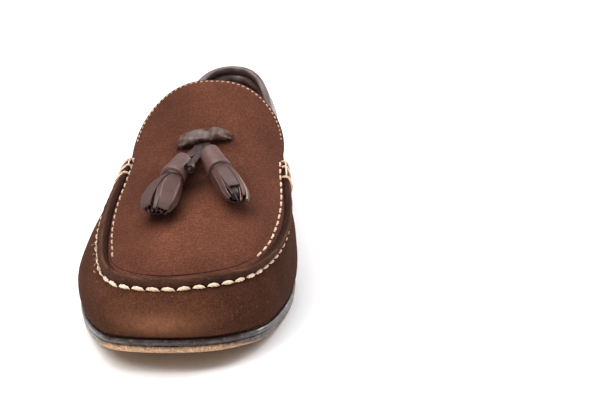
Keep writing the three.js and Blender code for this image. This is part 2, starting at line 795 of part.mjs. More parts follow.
const CAP_AT = [0, 0.03, 0.1, 0.3, 0.7, 0.93, 1]; // shares of the cap's length
const FRINGE_AT = [0, 0.08, 0.22, 0.45, 0.66, 0.86, 1, 1, 0.88]; // of the fringe's, ending in a shallow hollow
const STRIPS = 7; // leather strips in a fringe
for (const [where, { path, cap, capRadii, fringeRadii, squash }] of Object.entries(TASSELS)) {
  const end = path[path.length - 1].at,
    f = ["x", "s", "h"].map((key) =>
      natural(
        path.map((r) => r.at),
        path.map((r) => r[key]),
      ),
    ),
    axis = (a) => onApron(f[0](a), f[1](a), f[2](a)),
    frame = (a) => {
      const c = axis(a),
        fwd = axis(a + 0.5).p.sub(axis(a - 0.5).p).normalize(),
        w = c.n.clone().cross(fwd).normalize();
      return { p: c.p, w, h: fwd.clone().cross(w).normalize() };
    },
    place = (a, pts) => {
      const q = frame(a);
      return pts.map(([x, y]) => q.p.clone().addScaledVector(q.w, x).addScaledVector(q.h, y));
    };
  root.add(
    tube(CAP_AT.map((a, i) => place(a * cap, oval(capRadii[i], capRadii[i] * 0.95, 20)))).mesh("tassel_cap_" + where, "#72595a", 0.45),
  );
  const lobed = (r) =>
    Array.from({ length: STRIPS * 4 }, (_, i) => {
      const a = (2 * Math.PI * (i + 0.5)) / (STRIPS * 4),
        k = [0.86, 1, 0.97, 1][i % 4];
      return [r * k * Math.cos(a), r * k * squash * Math.sin(a)];
    });
  root.add(
    tube(FRINGE_AT.map((a, i) => place(cap + GAP + 0.2 + a * (end - cap - GAP), lobed(fringeRadii[i])))).mesh(
      "tassel_fringe_" + where,
      "#6a5150",
      0.5,
    ),
  );
}

// ---- laces: from under the bow to each cap
const LACES = {
  outer: [
    { at: 0, x: -1.9, s: 119.3, h: 1.6 },
    { at: 4, x: -2.5, s: 115.6, h: 2.5 },
    { at: 9, x: -4.1, s: 110.2, h: 4.5 },
    { at: 12, x: -5.1, s: 107.4, h: 5.7 },
  ],
  inner: [
    { at: 0, x: 2.2, s: 120.1, h: 1.7 },
    { at: 3, x: 2.7, s: 117.6, h: 2.9 },
    { at: 6, x: 3.5, s: 114.9, h: 4.7 },
    { at: 8, x: 4, s: 113, h: 5.8 },
  ],
};
for (const [where, rows] of Object.entries(LACES))
  root.add(sweep(overApron(rows, 8), () => oval(1.9, 1, 10, 2.6)).mesh("lace_" + where, "#6a5150", 0.5));

// ---- the part stands on the floor, centred on its own outline
root.updateMatrixWorld(true);
const box = new THREE.Box3().setFromObject(root, true),
  shift = new THREE.Vector3(-(box.min.x + box.max.x) / 2, -(box.min.y + box.max.y) / 2, -box.min.z);
root.children.forEach((m) => m.geometry.translate(shift.x, shift.y, shift.z));

export default root;
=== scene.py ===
import math

import bpy
import mathutils.kdtree
import numpy as np
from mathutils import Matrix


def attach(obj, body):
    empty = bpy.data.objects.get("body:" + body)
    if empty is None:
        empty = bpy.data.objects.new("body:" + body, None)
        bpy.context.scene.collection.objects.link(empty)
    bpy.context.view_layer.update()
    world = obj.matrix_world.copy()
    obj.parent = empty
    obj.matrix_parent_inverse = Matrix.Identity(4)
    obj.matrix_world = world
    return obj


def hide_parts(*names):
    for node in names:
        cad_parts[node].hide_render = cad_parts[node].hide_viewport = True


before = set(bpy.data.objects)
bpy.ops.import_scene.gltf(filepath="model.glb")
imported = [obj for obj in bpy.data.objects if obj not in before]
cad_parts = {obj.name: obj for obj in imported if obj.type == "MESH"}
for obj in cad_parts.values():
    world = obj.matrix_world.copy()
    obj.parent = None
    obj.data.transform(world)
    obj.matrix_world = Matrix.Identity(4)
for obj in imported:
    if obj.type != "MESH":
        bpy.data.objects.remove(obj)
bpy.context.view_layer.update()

RNG = np.random.default_rng(7)

# ---------------------------------------------------------------- sizes, in millimetres
# x to the inner side, s along the shoe from the toe tip, z up from the floor
LENGTH = 300.0
SHIFT_X, SHIFT_Y = 4.1733, 0.0113  # puts the part's outline on the origin
SOLE_THICK = 6.0
GAP = 0.3
WALL = 1.8
SEAM_S, TOPLINE_S = 18.0, 293.5
THROAT_S, TONGUE_S = 134.5, 172.5
TONGUE_POWER, CROWN_POWER = 2.55, 2.4
INSOLE_THICK = 3.0
HEEL_S, LIFT_THICK = 222.0, 6.0

SOLE = [  # s, inner x, outer x
    (0, -5, -5), (3, 12.3, -22.4), (8, 21.2, -29), (18, 29.9, -35.2), (34, 38, -42.4), (56, 43.4, -50.4),
    (86, 47.8, -56.8), (115, 46.5, -55.6), (145, 40, -49.2), (175, 33.6, -42.6), (208, 31.6, -38.4),
    (240, 33.4, -36.6), (264, 33, -34.8), (285, 25.6, -26.6), (295.5, 14, -14.5), (300, 0, 0),
]
TOP = [  # s, inner x, outer x, z
    (18, -5, -5, 38), (22, 12, -20, 38.2), (31, 26.5, -29.5, 39), (45.5, 34.8, -34.4, 40.8), (69.5, 40.8, -38.2, 44.8),
    (92.5, 42.6, -39.8, 49.6), (115.5, 41.6, -39.6, 55), (134.5, 40.6, -39.8, 60.4), (160, 38.6, -39.6, 61),
    (185, 35.2, -36.4, 59.5), (212, 31.6, -33, 60), (240, 28, -29.6, 64.4), (262, 24, -25.6, 71.6),
    (281, 17, -18.6, 79.7), (290.5, 8.8, -9.9, 83), (293.5, -0.4, -0.4, 83.7),
]
TONGUE = [(150, 41.9, -40.6, 68.6), (165, 42, -40.8, 76.4), (180, 41.2, -40.4, 82), (195, 40, -40, 86)]
SEAM = [  # angle from the toe, how far below the apron's edge the bead starts and ends, and the inner stitch row
    (-1.43, 7.6, -0.6, -2.0), (-1.2, 7.8, -0.4, -1.8), (-1.05, 7.7, -0.1, -1.6), (-0.9, 7.6, 0, -1.5), (-0.75, 7.6, 0.2, -1.6),
    (-0.6, 7.6, 0.7, -1.9), (-0.45, 7.9, 2, -0.4), (-0.3, 8.6, 3.4, 1.2), (0, 8, 3, 0.8), (0.3, 7.8, 3.6, 1.2), (0.45, 8.4, 4.2, 1.6),
    (0.6, 9.1, 4.8, 1.2), (0.75, 9.8, 5.4, 1.5), (0.9, 10.4, 5.9, 0.2), (1.05, 9.8, 4.8, -0.2), (1.2, 8.1, 2.2, -0.6),
    (1.3, 7.3, 0.8, -1.2), (1.43, 6.8, -0.4, -1.9),
]
UNDERSIDE = [  # s, z
    (0, 10.5), (12, 8), (28, 4.6), (48, 1.6), (66, 0.2), (78, 0), (106, 0), (122, 1), (145, 4.2), (170, 8.8),
    (195, 13.2), (222, 16.8), (250, 18.4), (275, 19.2), (300, 20),
]
CENTRE = [  # s, z on the centre line
    (18, 38.4), (30, 42.6), (45.5, 46.4), (69.5, 51.8), (92.5, 58.6), (115.5, 68.2), (134.5, 78.4), (155.5, 89.4),
    (172.5, 96.8), (195, 103.5),
]
SIDE = [  # s, swell inner, swell outer, inset of the feather line, how upright the side stands
    (0, 2.6, 2.6, 1.3, 3.8), (18, 3, 2.8, 1.3, 3.6), (50, 3.4, 3, 1.3, 3.1), (90, 3.2, 2.8, 1.35, 2.45),
    (125, 2.8, 2.4, 1.4, 2.05), (160, 1.6, 2.2, 1.6, 1.85), (200, 1.2, 2.1, 1.6, 1.8), (240, 2, 2.4, 1.6, 1.8),
    (275, 3, 3, 1.6, 1.8), (300, 3.2, 3.2, 1.6, 1.8),
]
# soft creases and dents of the leather: where (x, s), half length and half width along a direction in degrees
# from the shoe's own line, depth (below zero sinks)
APRON_FOLDS = [
    ("flex across the ball", -4, 84, 34, 7.0, 86, -0.35),
    ("flex behind it", 3, 101, 30, 6.0, 94, 0.25),
    ("flex at the throat", 6, 118, 26, 7.0, 88, -0.3),
    ("outer toe hollow", -17, 44, 15, 7.0, 28, -0.45),
    ("inner toe hollow", 18, 42, 16, 6.0, -30, -0.4),
    ("tongue edge roll", 0, 166, 30, 4.5, 90, 0.25),
]
SIDE_FOLDS = [  # angle round the shoe, share of the height, half length round it, half width up it, depth
    ("outer flex line", 2 * math.pi - 1.10, 0.55, 0.11, 0.10, -0.7),
    ("outer flex ridge", 2 * math.pi - 1.26, 0.50, 0.10, 0.12, 0.45),
    ("inner flex line", 1.13, 0.55, 0.12, 0.10, -0.7),
    ("inner flex ridge", 1.30, 0.52, 0.10, 0.12, 0.4),
    ("outer quarter dent", 2 * math.pi - 1.9, 0.55, 0.25, 0.2, -0.5),
    ("inner quarter dent", 1.9, 0.55, 0.25, 0.2, -0.5),
    ("toe puff", 0.05, 0.45, 0.35, 0.22, 0.3),
]


# ---------------------------------------------------------------- curves through the tables
def natural(rows, key=1):
    xs = np.array([r[0] for r in rows], float)
    ys = np.array([r[key] for r in rows], float)
    n = len(xs)
    h = np.diff(xs)
    A = np.eye(n)
    b = np.zeros(n)
    for i in range(1, n - 1):
        A[i, i - 1], A[i, i], A[i, i + 1] = h[i - 1], 2 * (h[i - 1] + h[i]), h[i]
        b[i] = 6 * ((ys[i + 1] - ys[i]) / h[i] - (ys[i] - ys[i - 1]) / h[i - 1])
    M = np.linalg.solve(A, b)

    def f(x):
        x = np.asarray(x, float)
        i = np.clip(np.searchsorted(xs, x, side="right") - 1, 0, n - 2)
        a = (xs[i + 1] - x) / h[i]
        c = (x - xs[i]) / h[i]
        return a * ys[i] + c * ys[i + 1] + ((a**3 - a) * M[i] + (c**3 - c) * M[i + 1]) * h[i] ** 2 / 6

    return f


def monotone(rows, key=1):
    xs = np.array([r[0] for r in rows], float)
    ys = np.array([r[key] for r in rows], float)
    h = np.diff(xs)
    d = np.diff(ys) / h
    m = np.zeros(len(xs))
    m[0], m[-1] = d[0], d[-1]
    for i in range(1, len(xs) - 1):
        if d[i - 1] * d[i] > 0:
            m[i] = 3 * (h[i - 1] + h[i]) / ((2 * h[i] + h[i - 1]) / d[i - 1] + (h[i] + 2 * h[i - 1]) / d[i])

    def f(x):
        x = np.asarray(x, float)
        i = np.clip(np.searchsorted(xs, x, side="right") - 1, 0, len(xs) - 2)
        u = np.clip((x - xs[i]) / h[i], 0, 1)
        return (
            (1 + 2 * u) * (1 - u) ** 2 * ys[i]
            + u * (1 - u) ** 2 * h[i] * m[i]
            + u * u * (3 - 2 * u) * ys[i + 1]
            + u * u * (u - 1) * h[i] * m[i + 1]
        )

    return f


def periodic(ts, vals):
    xs = np.array(ts, float)
    ys = np.array(vals, float)
    n = len(xs)
    per = 2 * np.pi
    h = np.diff(np.append(xs, xs[0] + per))
    yn = np.append(ys, ys[0])
    A = np.zeros((n, n))
    b = np.zeros(n)
    for i in range(n):
        p, q = (i - 1) % n, (i + 1) % n
        A[i, p] += h[p]
        A[i, i] += 2 * (h[p] + h[i])
        A[i, q] += h[i]
        b[i] = 6 * ((ys[q] - ys[i]) / h[i] - (ys[i] - ys[p]) / h[p])
    M = np.linalg.solve(A, b)
    Mn = np.append(M, M[0])
    X = np.append(xs, xs[0] + per)

    def f(x):
        x = np.mod(np.asarray(x, float) - xs[0], per) + xs[0]
        i = np.clip(np.searchsorted(X, x, side="right") - 1, 0, n - 1)
        a = (X[i + 1] - x) / h[i]
        c = (x - X[i]) / h[i]
        return a * yn[i] + c * yn[i + 1] + ((a**3 - a) * Mn[i] + (c**3 - c) * Mn[i + 1]) * h[i] ** 2 / 6

    return f


def angle_of(s, s0, s1):
    return np.arccos(np.clip(1 - 2 * (np.asarray(s, float) - s0) / (s1 - s0), -1, 1))


def along(t, s0, s1):
    return s0 + (s1 - s0) * (1 - np.cos(t)) / 2


def ring(rows):
    s0, s1 = rows[0][0], rows[-1][0]
    back = rows[-2:0:-1]
    return periodic(
        [float(angle_of(r[0], s0, s1)) for r in rows] + [2 * math.pi - float(angle_of(r[0], s0, s1)) for r in back],
        [r[1] for r in rows] + [r[2] for r in back],
    )


sole_x, top_x, top_z = ring(SOLE), ring(TOP), monotone(TOP, 3)
under_raw, centre_z = monotone(UNDERSIDE), natural(CENTRE)
swell_in, swell_out, inset, upright = (monotone(SIDE, k) for k in (1, 2, 3, 4))
ARCH = [r for r in TOP if r[0] <= THROAT_S] + TONGUE
arch_z, arch_in, arch_out = natural(ARCH, 3), natural(ARCH[3:], 1), natural(ARCH[3:], 2)


def under(s):
    return under_raw(np.clip(s, 0, LENGTH))


def P(x, s, z):
    """shoe millimetres to scene metres, stacked"""
    x, s, z = np.broadcast_arrays(np.asarray(x, float), np.asarray(s, float), np.asarray(z, float))
    return np.stack([(x + SHIFT_X) / 1000, (s - LENGTH / 2 + SHIFT_Y) / 1000, z / 1000], -1)


def sole_point(t, out=0.0):
    e = 1e-4
    dx = sole_x(t + e) - sole_x(t - e)
    ds = along(t + e, 0, LENGTH) - along(t - e, 0, LENGTH)
    l = np.hypot(dx, ds)
    nx, ns = ds / l, -dx / l
    return sole_x(t) + out * nx, along(t, 0, LENGTH) + out * ns, nx, ns


def smooth(a):
    a = np.clip(a, 0, 1)
    return a * a * (3 - 2 * a)


def side_raw(t, v):
    t, v = np.broadcast_arrays(np.asarray(t, float), np.asarray(v, float))
    x, s, nx, ns = sole_point(t)
    i = inset(s)
    fx, fs = x - nx * i, s - ns * i
    tx, ts = top_x(t), along(t, SEAM_S, TOPLINE_S)
    z0, z1 = under(fs) + SOLE_THICK + GAP, top_z(ts)
    lean = v ** upright(fs)
    w = smooth((np.sin(t) / 0.35 + 1) / 2)
    b = (swell_out(s) * (1 - w) + swell_in(s) * w) * np.sin(np.pi * v**0.62)
    return np.stack([fx + (tx - fx) * lean + nx * b, fs + (ts - fs) * lean + ns * b, z0 + (z1 - z0) * v], -1)


def unit(a):
    return a / np.maximum(np.linalg.norm(a, axis=-1, keepdims=True), 1e-12)


def side_n(t, v):
    e = 1e-3
    v = np.asarray(v, float)
    lo, hi = np.maximum(0, v - e), np.minimum(1, v + e)
    return unit(np.cross(side_raw(t + e, v) - side_raw(t - e, v), side_raw(t, hi) - side_raw(t, lo)))


def arch_half(s):
    s = np.asarray(s, float)
    t = angle_of(s, SEAM_S, TOPLINE_S)
    lo = np.where(s > THROAT_S, arch_out(s), top_x(2 * np.pi - t))
    hi = np.where(s > THROAT_S, arch_in(s), top_x(t))
    return lo, hi


def apron_u(u, s):
    lo, hi = arch_half(s)
    z0 = arch_z(s)
    u, s = np.broadcast_arrays(np.asarray(u, float), np.asarray(s, float))
    return np.stack(
        [(lo + hi) / 2 + u * (hi - lo) / 2, s, z0 + (centre_z(s) - z0) * (1 - np.abs(u) ** CROWN_POWER)], -1
    )


def apron_x(x, s):
    lo, hi = arch_half(s)
    return apron_u(np.clip((x - (lo + hi) / 2) / np.maximum((hi - lo) / 2, 1e-6), -1, 1), s)


def on_apron(x, s, h=0.0):
    """points of the apron under x, s, raised by h along the normal; and the normals"""
    x, s = np.broadcast_arrays(np.asarray(x, float), np.asarray(s, float))
    e = 0.05
    n = unit(np.cross(apron_x(x + e, s) - apron_x(x - e, s), apron_x(x, s + e) - apron_x(x, s - e)))
    return apron_x(x, s) + n * np.asarray(h, float)[..., None], n


def tongue_edge(u):
    return THROAT_S + (TONGUE_S - THROAT_S) * (1 - np.minimum(1, np.abs(u)) ** TONGUE_POWER) ** (1 / TONGUE_POWER)


T_THROAT = float(angle_of(THROAT_S, SEAM_S, TOPLINE_S))
seam_low, seam_high, seam_in = monotone(SEAM, 1), monotone(SEAM, 2), monotone(SEAM, 3)


def edge_normal(t):
    n = side_n(np.mod(t, 2 * np.pi), np.ones(np.shape(t)))
    n[..., 2] = 0
    return unit(n)


def near_seam(t, d, lift=0.0):
    """points of the upper d below the apron's edge, or inside it where d is negative, with the normals there"""
    t, d = np.broadcast_arrays(np.atleast_1d(np.asarray(t, float)), np.atleast_1d(np.asarray(d, float)))
    tt = np.mod(t, 2 * np.pi)
    vv = np.linspace(1, 0.55, 91)
    line = side_raw(tt[:, None], vv[None])
    arc = np.concatenate([np.zeros((len(tt), 1)), np.cumsum(np.linalg.norm(np.diff(line, axis=1), axis=2), 1)], 1)
    v = np.array([np.interp(max(a, 0.0), r, vv) for a, r in zip(d, arc)])
    n = side_n(tt, v)
    p = side_raw(tt, v) + n * lift
    e, fl = line[:, 0], edge_normal(tt)
    back = np.minimum(d, 0)
    q, qn = on_apron(e[:, 0] + fl[:, 0] * back, e[:, 1] + fl[:, 1] * back, lift)
    inside = (d < 0)[:, None]
    return np.where(inside, q, p), np.where(inside, qn, n), np.where(d < 0, 1.0, v)


# ---------------------------------------------------------------- camera
CAM_AT = (68.5, -402.3, 196.0)  # shoe millimetres
CAM_TILT, CAM_TURN, CAM_LENS = 16.85, 2.02, 63.0
cam_data = bpy.data.cameras.new("camera")
cam_data.sensor_width = 36.0
cam_data.lens = CAM_LENS
cam_data.clip_start = 0.01
cam = bpy.data.objects.new("camera", cam_data)
bpy.context.scene.collection.objects.link(cam)
cam.location = P(*CAM_AT)
cam.rotation_euler = (math.radians(90 - CAM_TILT), 0, math.radians(CAM_TURN))
bpy.context.scene.camera = cam


# ---------------------------------------------------------------- mesh building
def mesh_piece(name, verts, faces, mats, face_mat=None, node=None, attrs=None, sharp=False):
    """verts (n, 3) in shoe millimetres, faces a list of index arrays (quads or triangles)"""
    verts = np.asarray(verts, float)
    me = bpy.data.meshes.new(name)
    loops = [np.asarray(f, np.int64) for f in faces if len(f)]
    flat = np.concatenate([f.ravel() for f in loops])
    sizes = np.concatenate([np.full(len(f), f.shape[1]) for f in loops])
    starts = np.concatenate([[0], np.cumsum(sizes)[:-1]])
    me.vertices.add(len(verts))
    me.vertices.foreach_set("co", P(verts[:, 0], verts[:, 1], verts[:, 2]).astype(np.float32).ravel())
    me.loops.add(len(flat))
    me.loops.foreach_set("vertex_index", flat.astype(np.int32))
    me.polygons.add(len(sizes))
    me.polygons.foreach_set("loop_start", starts.astype(np.int32))
    me.update(calc_edges=True)
    me.validate(clean_customdata=False)
    me.polygons.foreach_set("use_smooth", np.full(len(me.polygons), not sharp))
    for m in mats:
        me.materials.append(m)
    if face_mat is not None and len(face_mat) == len(me.polygons):
        me.polygons.foreach_set("material_index", np.asarray(face_mat, np.int32))
    for key, vals in (attrs or {}).items():
        a = me.attributes.new(key, "FLOAT", "POINT")
        a.data.foreach_set("value", np.asarray(vals, np.float32))
    me.update()
    ob = bpy.data.objects.new(name, me)
    bpy.context.scene.collection.objects.link(ob)
    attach(ob, "root")
    if node:
        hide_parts(*([node] if isinstance(node, str) else node))
    return ob


def grid(nr, nc, wrap=False, base=0, flip=False):
    """quads of a grid of nr rows by nc columns"""
    r = np.arange(nr - 1)[:, None]
    c = np.arange(nc if wrap else nc - 1)[None, :]
    d = (c + 1) % nc
    q = np.stack([r * nc + c, r * nc + d, (r + 1) * nc + d, (r + 1) * nc + c], -1).reshape(-1, 4) + base
    return q[:, ::-1] if flip else q


class Build:
    """collects grids into one mesh"""

    def __init__(self):
        self.v, self.f, self.m, self.a, self.n = [], [], [], [], 0

    def add(self, pts, wrap=False, flip=False, mat=0, attr=0.0, cap0=False, cap1=False):
        nr, nc = pts.shape[:2]
        q = grid(nr, nc, wrap, self.n, flip)
        self.f.append(q)
        self.m.append(np.broadcast_to(np.asarray(mat), (nr, nc)).reshape(-1)[q[:, 0] - self.n] if np.ndim(mat) else np.full(len(q), mat))
        self.v.append(pts.reshape(-1, 3))
        at = np.broadcast_to(np.asarray(attr, float), (nr, nc)).reshape(-1)
        self.a.append(at)
        first = self.n
        self.n += nr * nc
        for want, row, turn in ((cap0, 0, True), (cap1, nr - 1, False)):
            if want:
                mid = self.n
                self.v.append(pts[row].mean(0)[None])
                self.a.append(at[row * nc : row * nc + 1])
                self.n += 1
                k = first + row * nc + np.arange(nc)
                t = np.stack([k, np.roll(k, -1), np.full(nc, mid)], -1)
                if turn != flip:
                    t = t[:, ::-1]
                self.f.append(t)
                self.m.append(np.full(len(t), mat))
        return first

    def piece(self, name, mats, node=None, attr="tone", sharp=False):
        return mesh_piece(
            name, np.concatenate(self.v), self.f, mats, np.concatenate(self.m), node, {attr: np.concatenate(self.a)}, sharp
        )


def sweep_frames(p, up):
    """forward, width and height directions along a line of points with a wanted up at each"""
    f = unit(np.gradient(p, axis=0))
    w = unit(np.cross(up, f))
    return f, w, np.cross(f, w)


def oval(w, h, n, power=2.0):
    a = np.linspace(0, 2 * np.pi, n, endpoint=False)
    c, d = np.cos(a), np.sin(a)
    return np.stack([w * np.sign(c) * np.abs(c) ** (2 / power), h * np.sign(d) * np.abs(d) ** (2 / power)], -1)


# ---------------------------------------------------------------- materials
def srgb(h):
    h = h.lstrip("#")
    c = [int(h[i : i + 2], 16) / 255 for i in (0, 2, 4)]
    return tuple((v / 12.92 if v <= 0.04045 else ((v + 0.055) / 1.055) ** 2.4) for v in c) + (1.0,)


class Mat:
    def __init__(self, name):
        self.m = bpy.data.materials.new(name)
        self.m.use_nodes = True
        self.t = self.m.node_tree
        self.t.nodes.clear()
        self.out = self.t.nodes.new("ShaderNodeOutputMaterial")
        self.b = self.t.nodes.new("ShaderNodeBsdfPrincipled")
        self.t.links.new(self.b.outputs[0], self.out.inputs[0])
        self.co = self.t.nodes.new("ShaderNodeTexCoord").outputs["Object"]

    def set(self, **k):
        for name, v in k.items():
            self.b.inputs[name.replace("_", " ")].default_value = v
        return self

    def node(self, kind, ins=None, **props):
        n = self.t.nodes.new(kind)
        for k, v in props.items():
            setattr(n, k, v)
        for k, v in (ins or {}).items():
            if hasattr(v, "is_linked") or isinstance(v, bpy.types.NodeSocket):
                self.t.links.new(v, n.inputs[k])
            else:
                n.inputs[k].default_value = v
        return n

    def noise(self, scale, detail=2.0, rough=0.5, co=None, dist=0.0, stretch=None):
        v = co or self.co
        if stretch:
            v = self.node("ShaderNodeMapping", {0: v, 3: stretch}).outputs[0]
        return self.node(
            "ShaderNodeTexNoise", {"Vector": v, "Scale": scale, "Detail": detail, "Roughness": rough, "Distortion": dist}
        ).outputs[0]

    def ramp(self, fac, stops, mode="LINEAR"):
        n = self.node("ShaderNodeValToRGB", {0: fac})
        n.color_ramp.interpolation = mode
        e = n.color_ramp.elements
        while len(e) < len(stops):
            e.new(0.5)
        for i, (p, c) in enumerate(stops):
            e[i].position = p
            e[i].color = c if isinstance(c, tuple) else (c, c, c, 1)
        return n.outputs[0]

    def mix(self, fac, a, b, kind="MIX"):
        n = self.node("ShaderNodeMix", data_type="RGBA", blend_type=kind)
        for k, v in ((0, fac), (6, a), (7, b)):
            if isinstance(v, bpy.types.NodeSocket):
                self.t.links.new(v, n.inputs[k])
            else:
                n.inputs[k].default_value = v
        return n.outputs[2]

    def math(self, op, a, b=0.0, clamp=False):
        return self.node("ShaderNodeMath", {0: a, 1: b}, operation=op, use_clamp=clamp).outputs[0]

    def attr(self, name):
        return self.node("ShaderNodeAttribute", attribute_name=name).outputs["Fac"]

    def link(self, sock, name):
        self.t.links.new(sock, self.b.inputs[name])
        return self

    def bump(self, height, strength=0.5, dist=0.0005, chain=None):
        ins = {"Strength": strength, "Distance": dist, "Height": height}
        if chain is not None:
            ins["Normal"] = chain
        return self.node("ShaderNodeBump", ins).outputs[0]


def suede(name, lit, deep, dusty=None, sheen=0.18, gloss=0.1):
    """short-napped suede: brushed patches, fine fibre, pale specks; attribute tone darkens (below 0) or pales with dust
    (above 0), and carries painted shade and painted highlight
    """
    m = Mat(name)
    m.set(Roughness=0.93, Sheen_Weight=sheen, Sheen_Roughness=0.4, Specular_IOR_Level=gloss)
    m.b.inputs["Sheen Tint"].default_value = srgb("#8c5238")
    patch = m.noise(34, 3, 0.6, dist=0.6)
    brushed = m.noise(150, 3, 0.6, dist=0.8, stretch=(1.0, 0.5, 1.0))
    nap = m.noise(430, 4, 0.7, stretch=(1.0, 0.6, 1.0))
    grain = m.noise(1050, 3, 0.75)
    fibre = m.noise(2600, 3, 0.7)
    base = m.mix(m.ramp(patch, [(0.32, 0.0), (0.68, 1.0)]), srgb(deep), srgb(lit))
    base = m.mix(m.math("MULTIPLY", m.ramp(brushed, [(0.34, 0.0), (0.64, 1.0)]), 0.35), base, srgb(deep))
    base = m.mix(m.math("MULTIPLY", m.ramp(nap, [(0.36, 0.0), (0.64, 1.0)]), 0.4), base, srgb(deep))
    base = m.mix(1.0, base, m.ramp(grain, [(0.37, 0.6), (0.5, 0.97), (0.64, 1.46)]), "MULTIPLY")
    base = m.mix(m.ramp(fibre, [(0.42, 0.0), (0.75, 0.3)]), base, srgb(dusty or "#8f5d45"))
    speck = m.ramp(m.noise(760, 2, 0.5), [(0.69, 0.0), (0.76, 0.30)])
    base = m.mix(speck, base, srgb("#b98a6c"))
    t = m.attr("tone")
    # tone above zero pales the suede with dust and as painted highlight; tone below zero darkens it, as darker colour
    # and painted shade
    dust_and_highlight = m.math("MULTIPLY", m.math("MAXIMUM", t, 0.0), m.ramp(nap, [(0.3, 0.45), (0.62, 1.0)]), True)
    base = m.mix(dust_and_highlight, base, srgb("#9c6a4d"))
    base = m.mix(m.math("MULTIPLY", m.math("MAXIMUM", m.math("MULTIPLY", t, -1.0), 0.0), 1.0, True), base, srgb("#160b08"))
    m.link(base, "Base Color")
    h = m.bump(nap, 0.30, 0.0007)
    h = m.bump(grain, 0.45, 0.0004, h)
    h = m.bump(fibre, 0.3, 0.0002, h)
    h = m.bump(patch, 0.12, 0.0012, h)
    m.link(h, "Normal")
    return m.m


def smooth_leather(name, colour, dark, rough=0.42, coat=0.15, grain=1500, worn=None, sheen=0.0, fleck=0.25):
    m = Mat(name)
    m.set(Coat_Weight=coat, Coat_Roughness=0.3, Specular_IOR_Level=0.45, Sheen_Weight=sheen)
    cloud = m.noise(70, 3, 0.55)
    pore = m.node("ShaderNodeTexVoronoi", {"Vector": m.co, "Scale": grain}, feature="DISTANCE_TO_EDGE").outputs[0]
    fine = m.noise(2200, 3, 0.6)
    base = m.mix(m.ramp(cloud, [(0.3, 0.0), (0.7, 1.0)]), srgb(dark), srgb(colour))
    base = m.mix(m.ramp(fine, [(0.5, 0.0), (0.8, fleck)]), base, srgb(worn or "#8d7a72"))
    # tone above zero mixes in the pale colour: wear and pale cut edges on the trims, painted sheen and highlight on the
    # collar; tone below zero darkens, and carries painted shade on the bow, fringe and collar
    t = m.attr("tone")
    base = m.mix(m.math("MAXIMUM", t, 0.0, True), base, srgb(worn or "#b49a86"))
    base = m.mix(m.math("MAXIMUM", m.math("MULTIPLY", t, -1.0), 0.0, True), base, srgb("#140c0a"))
    m.link(base, "Base Color")
    r = m.ramp(m.noise(160, 3, 0.6), [(0.3, rough - 0.07), (0.7, rough + 0.09)])
    m.link(r, "Roughness")
    h = m.bump(m.ramp(pore, [(0.0, 0.0), (0.12, 1.0)]), 0.18, 0.00012)
    h = m.bump(cloud, 0.12, 0.0008, h)
    m.link(h, "Normal")
    return m.m


def thread_mat():
    m = Mat("cream_thread")
    m.set(Roughness=0.62, Specular_IOR_Level=0.35, Sheen_Weight=0.1)
    thread_tone = m.noise(260, 3, 0.6)
    base = m.mix(m.ramp(thread_tone, [(0.35, 0.0), (0.75, 1.0)]), srgb("#f2d8c0"), srgb("#d8b292"))
    base = m.mix(m.math("MAXIMUM", m.attr("tone"), 0.0, True), base, srgb("#7a4a36"))
    m.link(base, "Base Color")
    m.link(m.bump(m.noise(4200, 2, 0.6, stretch=(1, 1, 1)), 0.4, 0.00012), "Normal")
    return m.m


def sole_edge_mat():
    """attribute tone is the height up the edge, 0 to 1: worn tan below, burnished black-brown above"""
    m = Mat("sole_edge")
    m.set(Specular_IOR_Level=0.36, Coat_Roughness=0.12)
    up = m.math("ADD", m.attr("tone"), m.math("MULTIPLY", m.math("SUBTRACT", m.noise(520, 5, 0.8), 0.5), 0.75))
    tan = m.mix(m.ramp(m.noise(1300, 4, 0.7), [(0.34, 0.0), (0.6, 1.0)]), srgb("#7d5a3e"), srgb("#d9b08a"))
    tan = m.mix(m.ramp(m.noise(420, 3, 0.6, stretch=(1, 1, 2.5)), [(0.55, 0.0), (0.72, 0.7)]), tan, srgb("#4a3226"))
    dark = m.mix(m.ramp(m.noise(240, 3, 0.6), [(0.35, 0.0), (0.7, 1.0)]), srgb("#1b1110"), srgb("#47332e"))
    # pale streaks along the burnished band: scuffs and painted highlight
    dark = m.mix(m.ramp(m.noise(330, 4, 0.7, stretch=(1, 1, 2.6)), [(0.52, 0.0), (0.68, 0.45)]), dark, srgb("#8f7f7b"))
    where = m.ramp(up, [(0.30, 0.0), (0.42, 0.55), (0.56, 1.0)])
    m.link(m.mix(where, tan, dark), "Base Color")
    m.link(m.ramp(up, [(0.38, 0.8), (0.52, 0.38)]), "Roughness")
    m.link(m.math("MULTIPLY", m.ramp(up, [(0.46, 0.0), (0.60, 0.6)]), m.ramp(m.noise(160, 4, 0.7), [(0.46, 0.08), (0.58, 1.0)])), "Coat Weight")
    h = m.bump(m.noise(1500, 4, 0.7), 0.25, 0.0003)
    h = m.bump(m.noise(170, 3, 0.6, stretch=(1, 1, 2.2)), 0.5, 0.0008, h)
    m.link(h, "Normal")
    return m.m


def tread_mat():
    m = Mat("sole_leather")
    m.set(Specular_IOR_Level=0.35)
    f = m.noise(120, 4, 0.65)
    base = m.mix(m.ramp(f, [(0.3, 0.0), (0.7, 1.0)]), srgb("#8d6a45"), srgb("#b58a5c"))
    scr = m.ramp(m.noise(500, 2, 0.5, stretch=(1, 0.08, 1)), [(0.6, 0.0), (0.75, 0.5)])
    base = m.mix(scr, base, srgb("#5c442e"))
    m.link(base, "Base Color")
    m.link(m.ramp(f, [(0.3, 0.55), (0.7, 0.8)]), "Roughness")
    m.link(m.bump(m.noise(900, 3, 0.6), 0.25, 0.0003), "Normal")
    return m.m


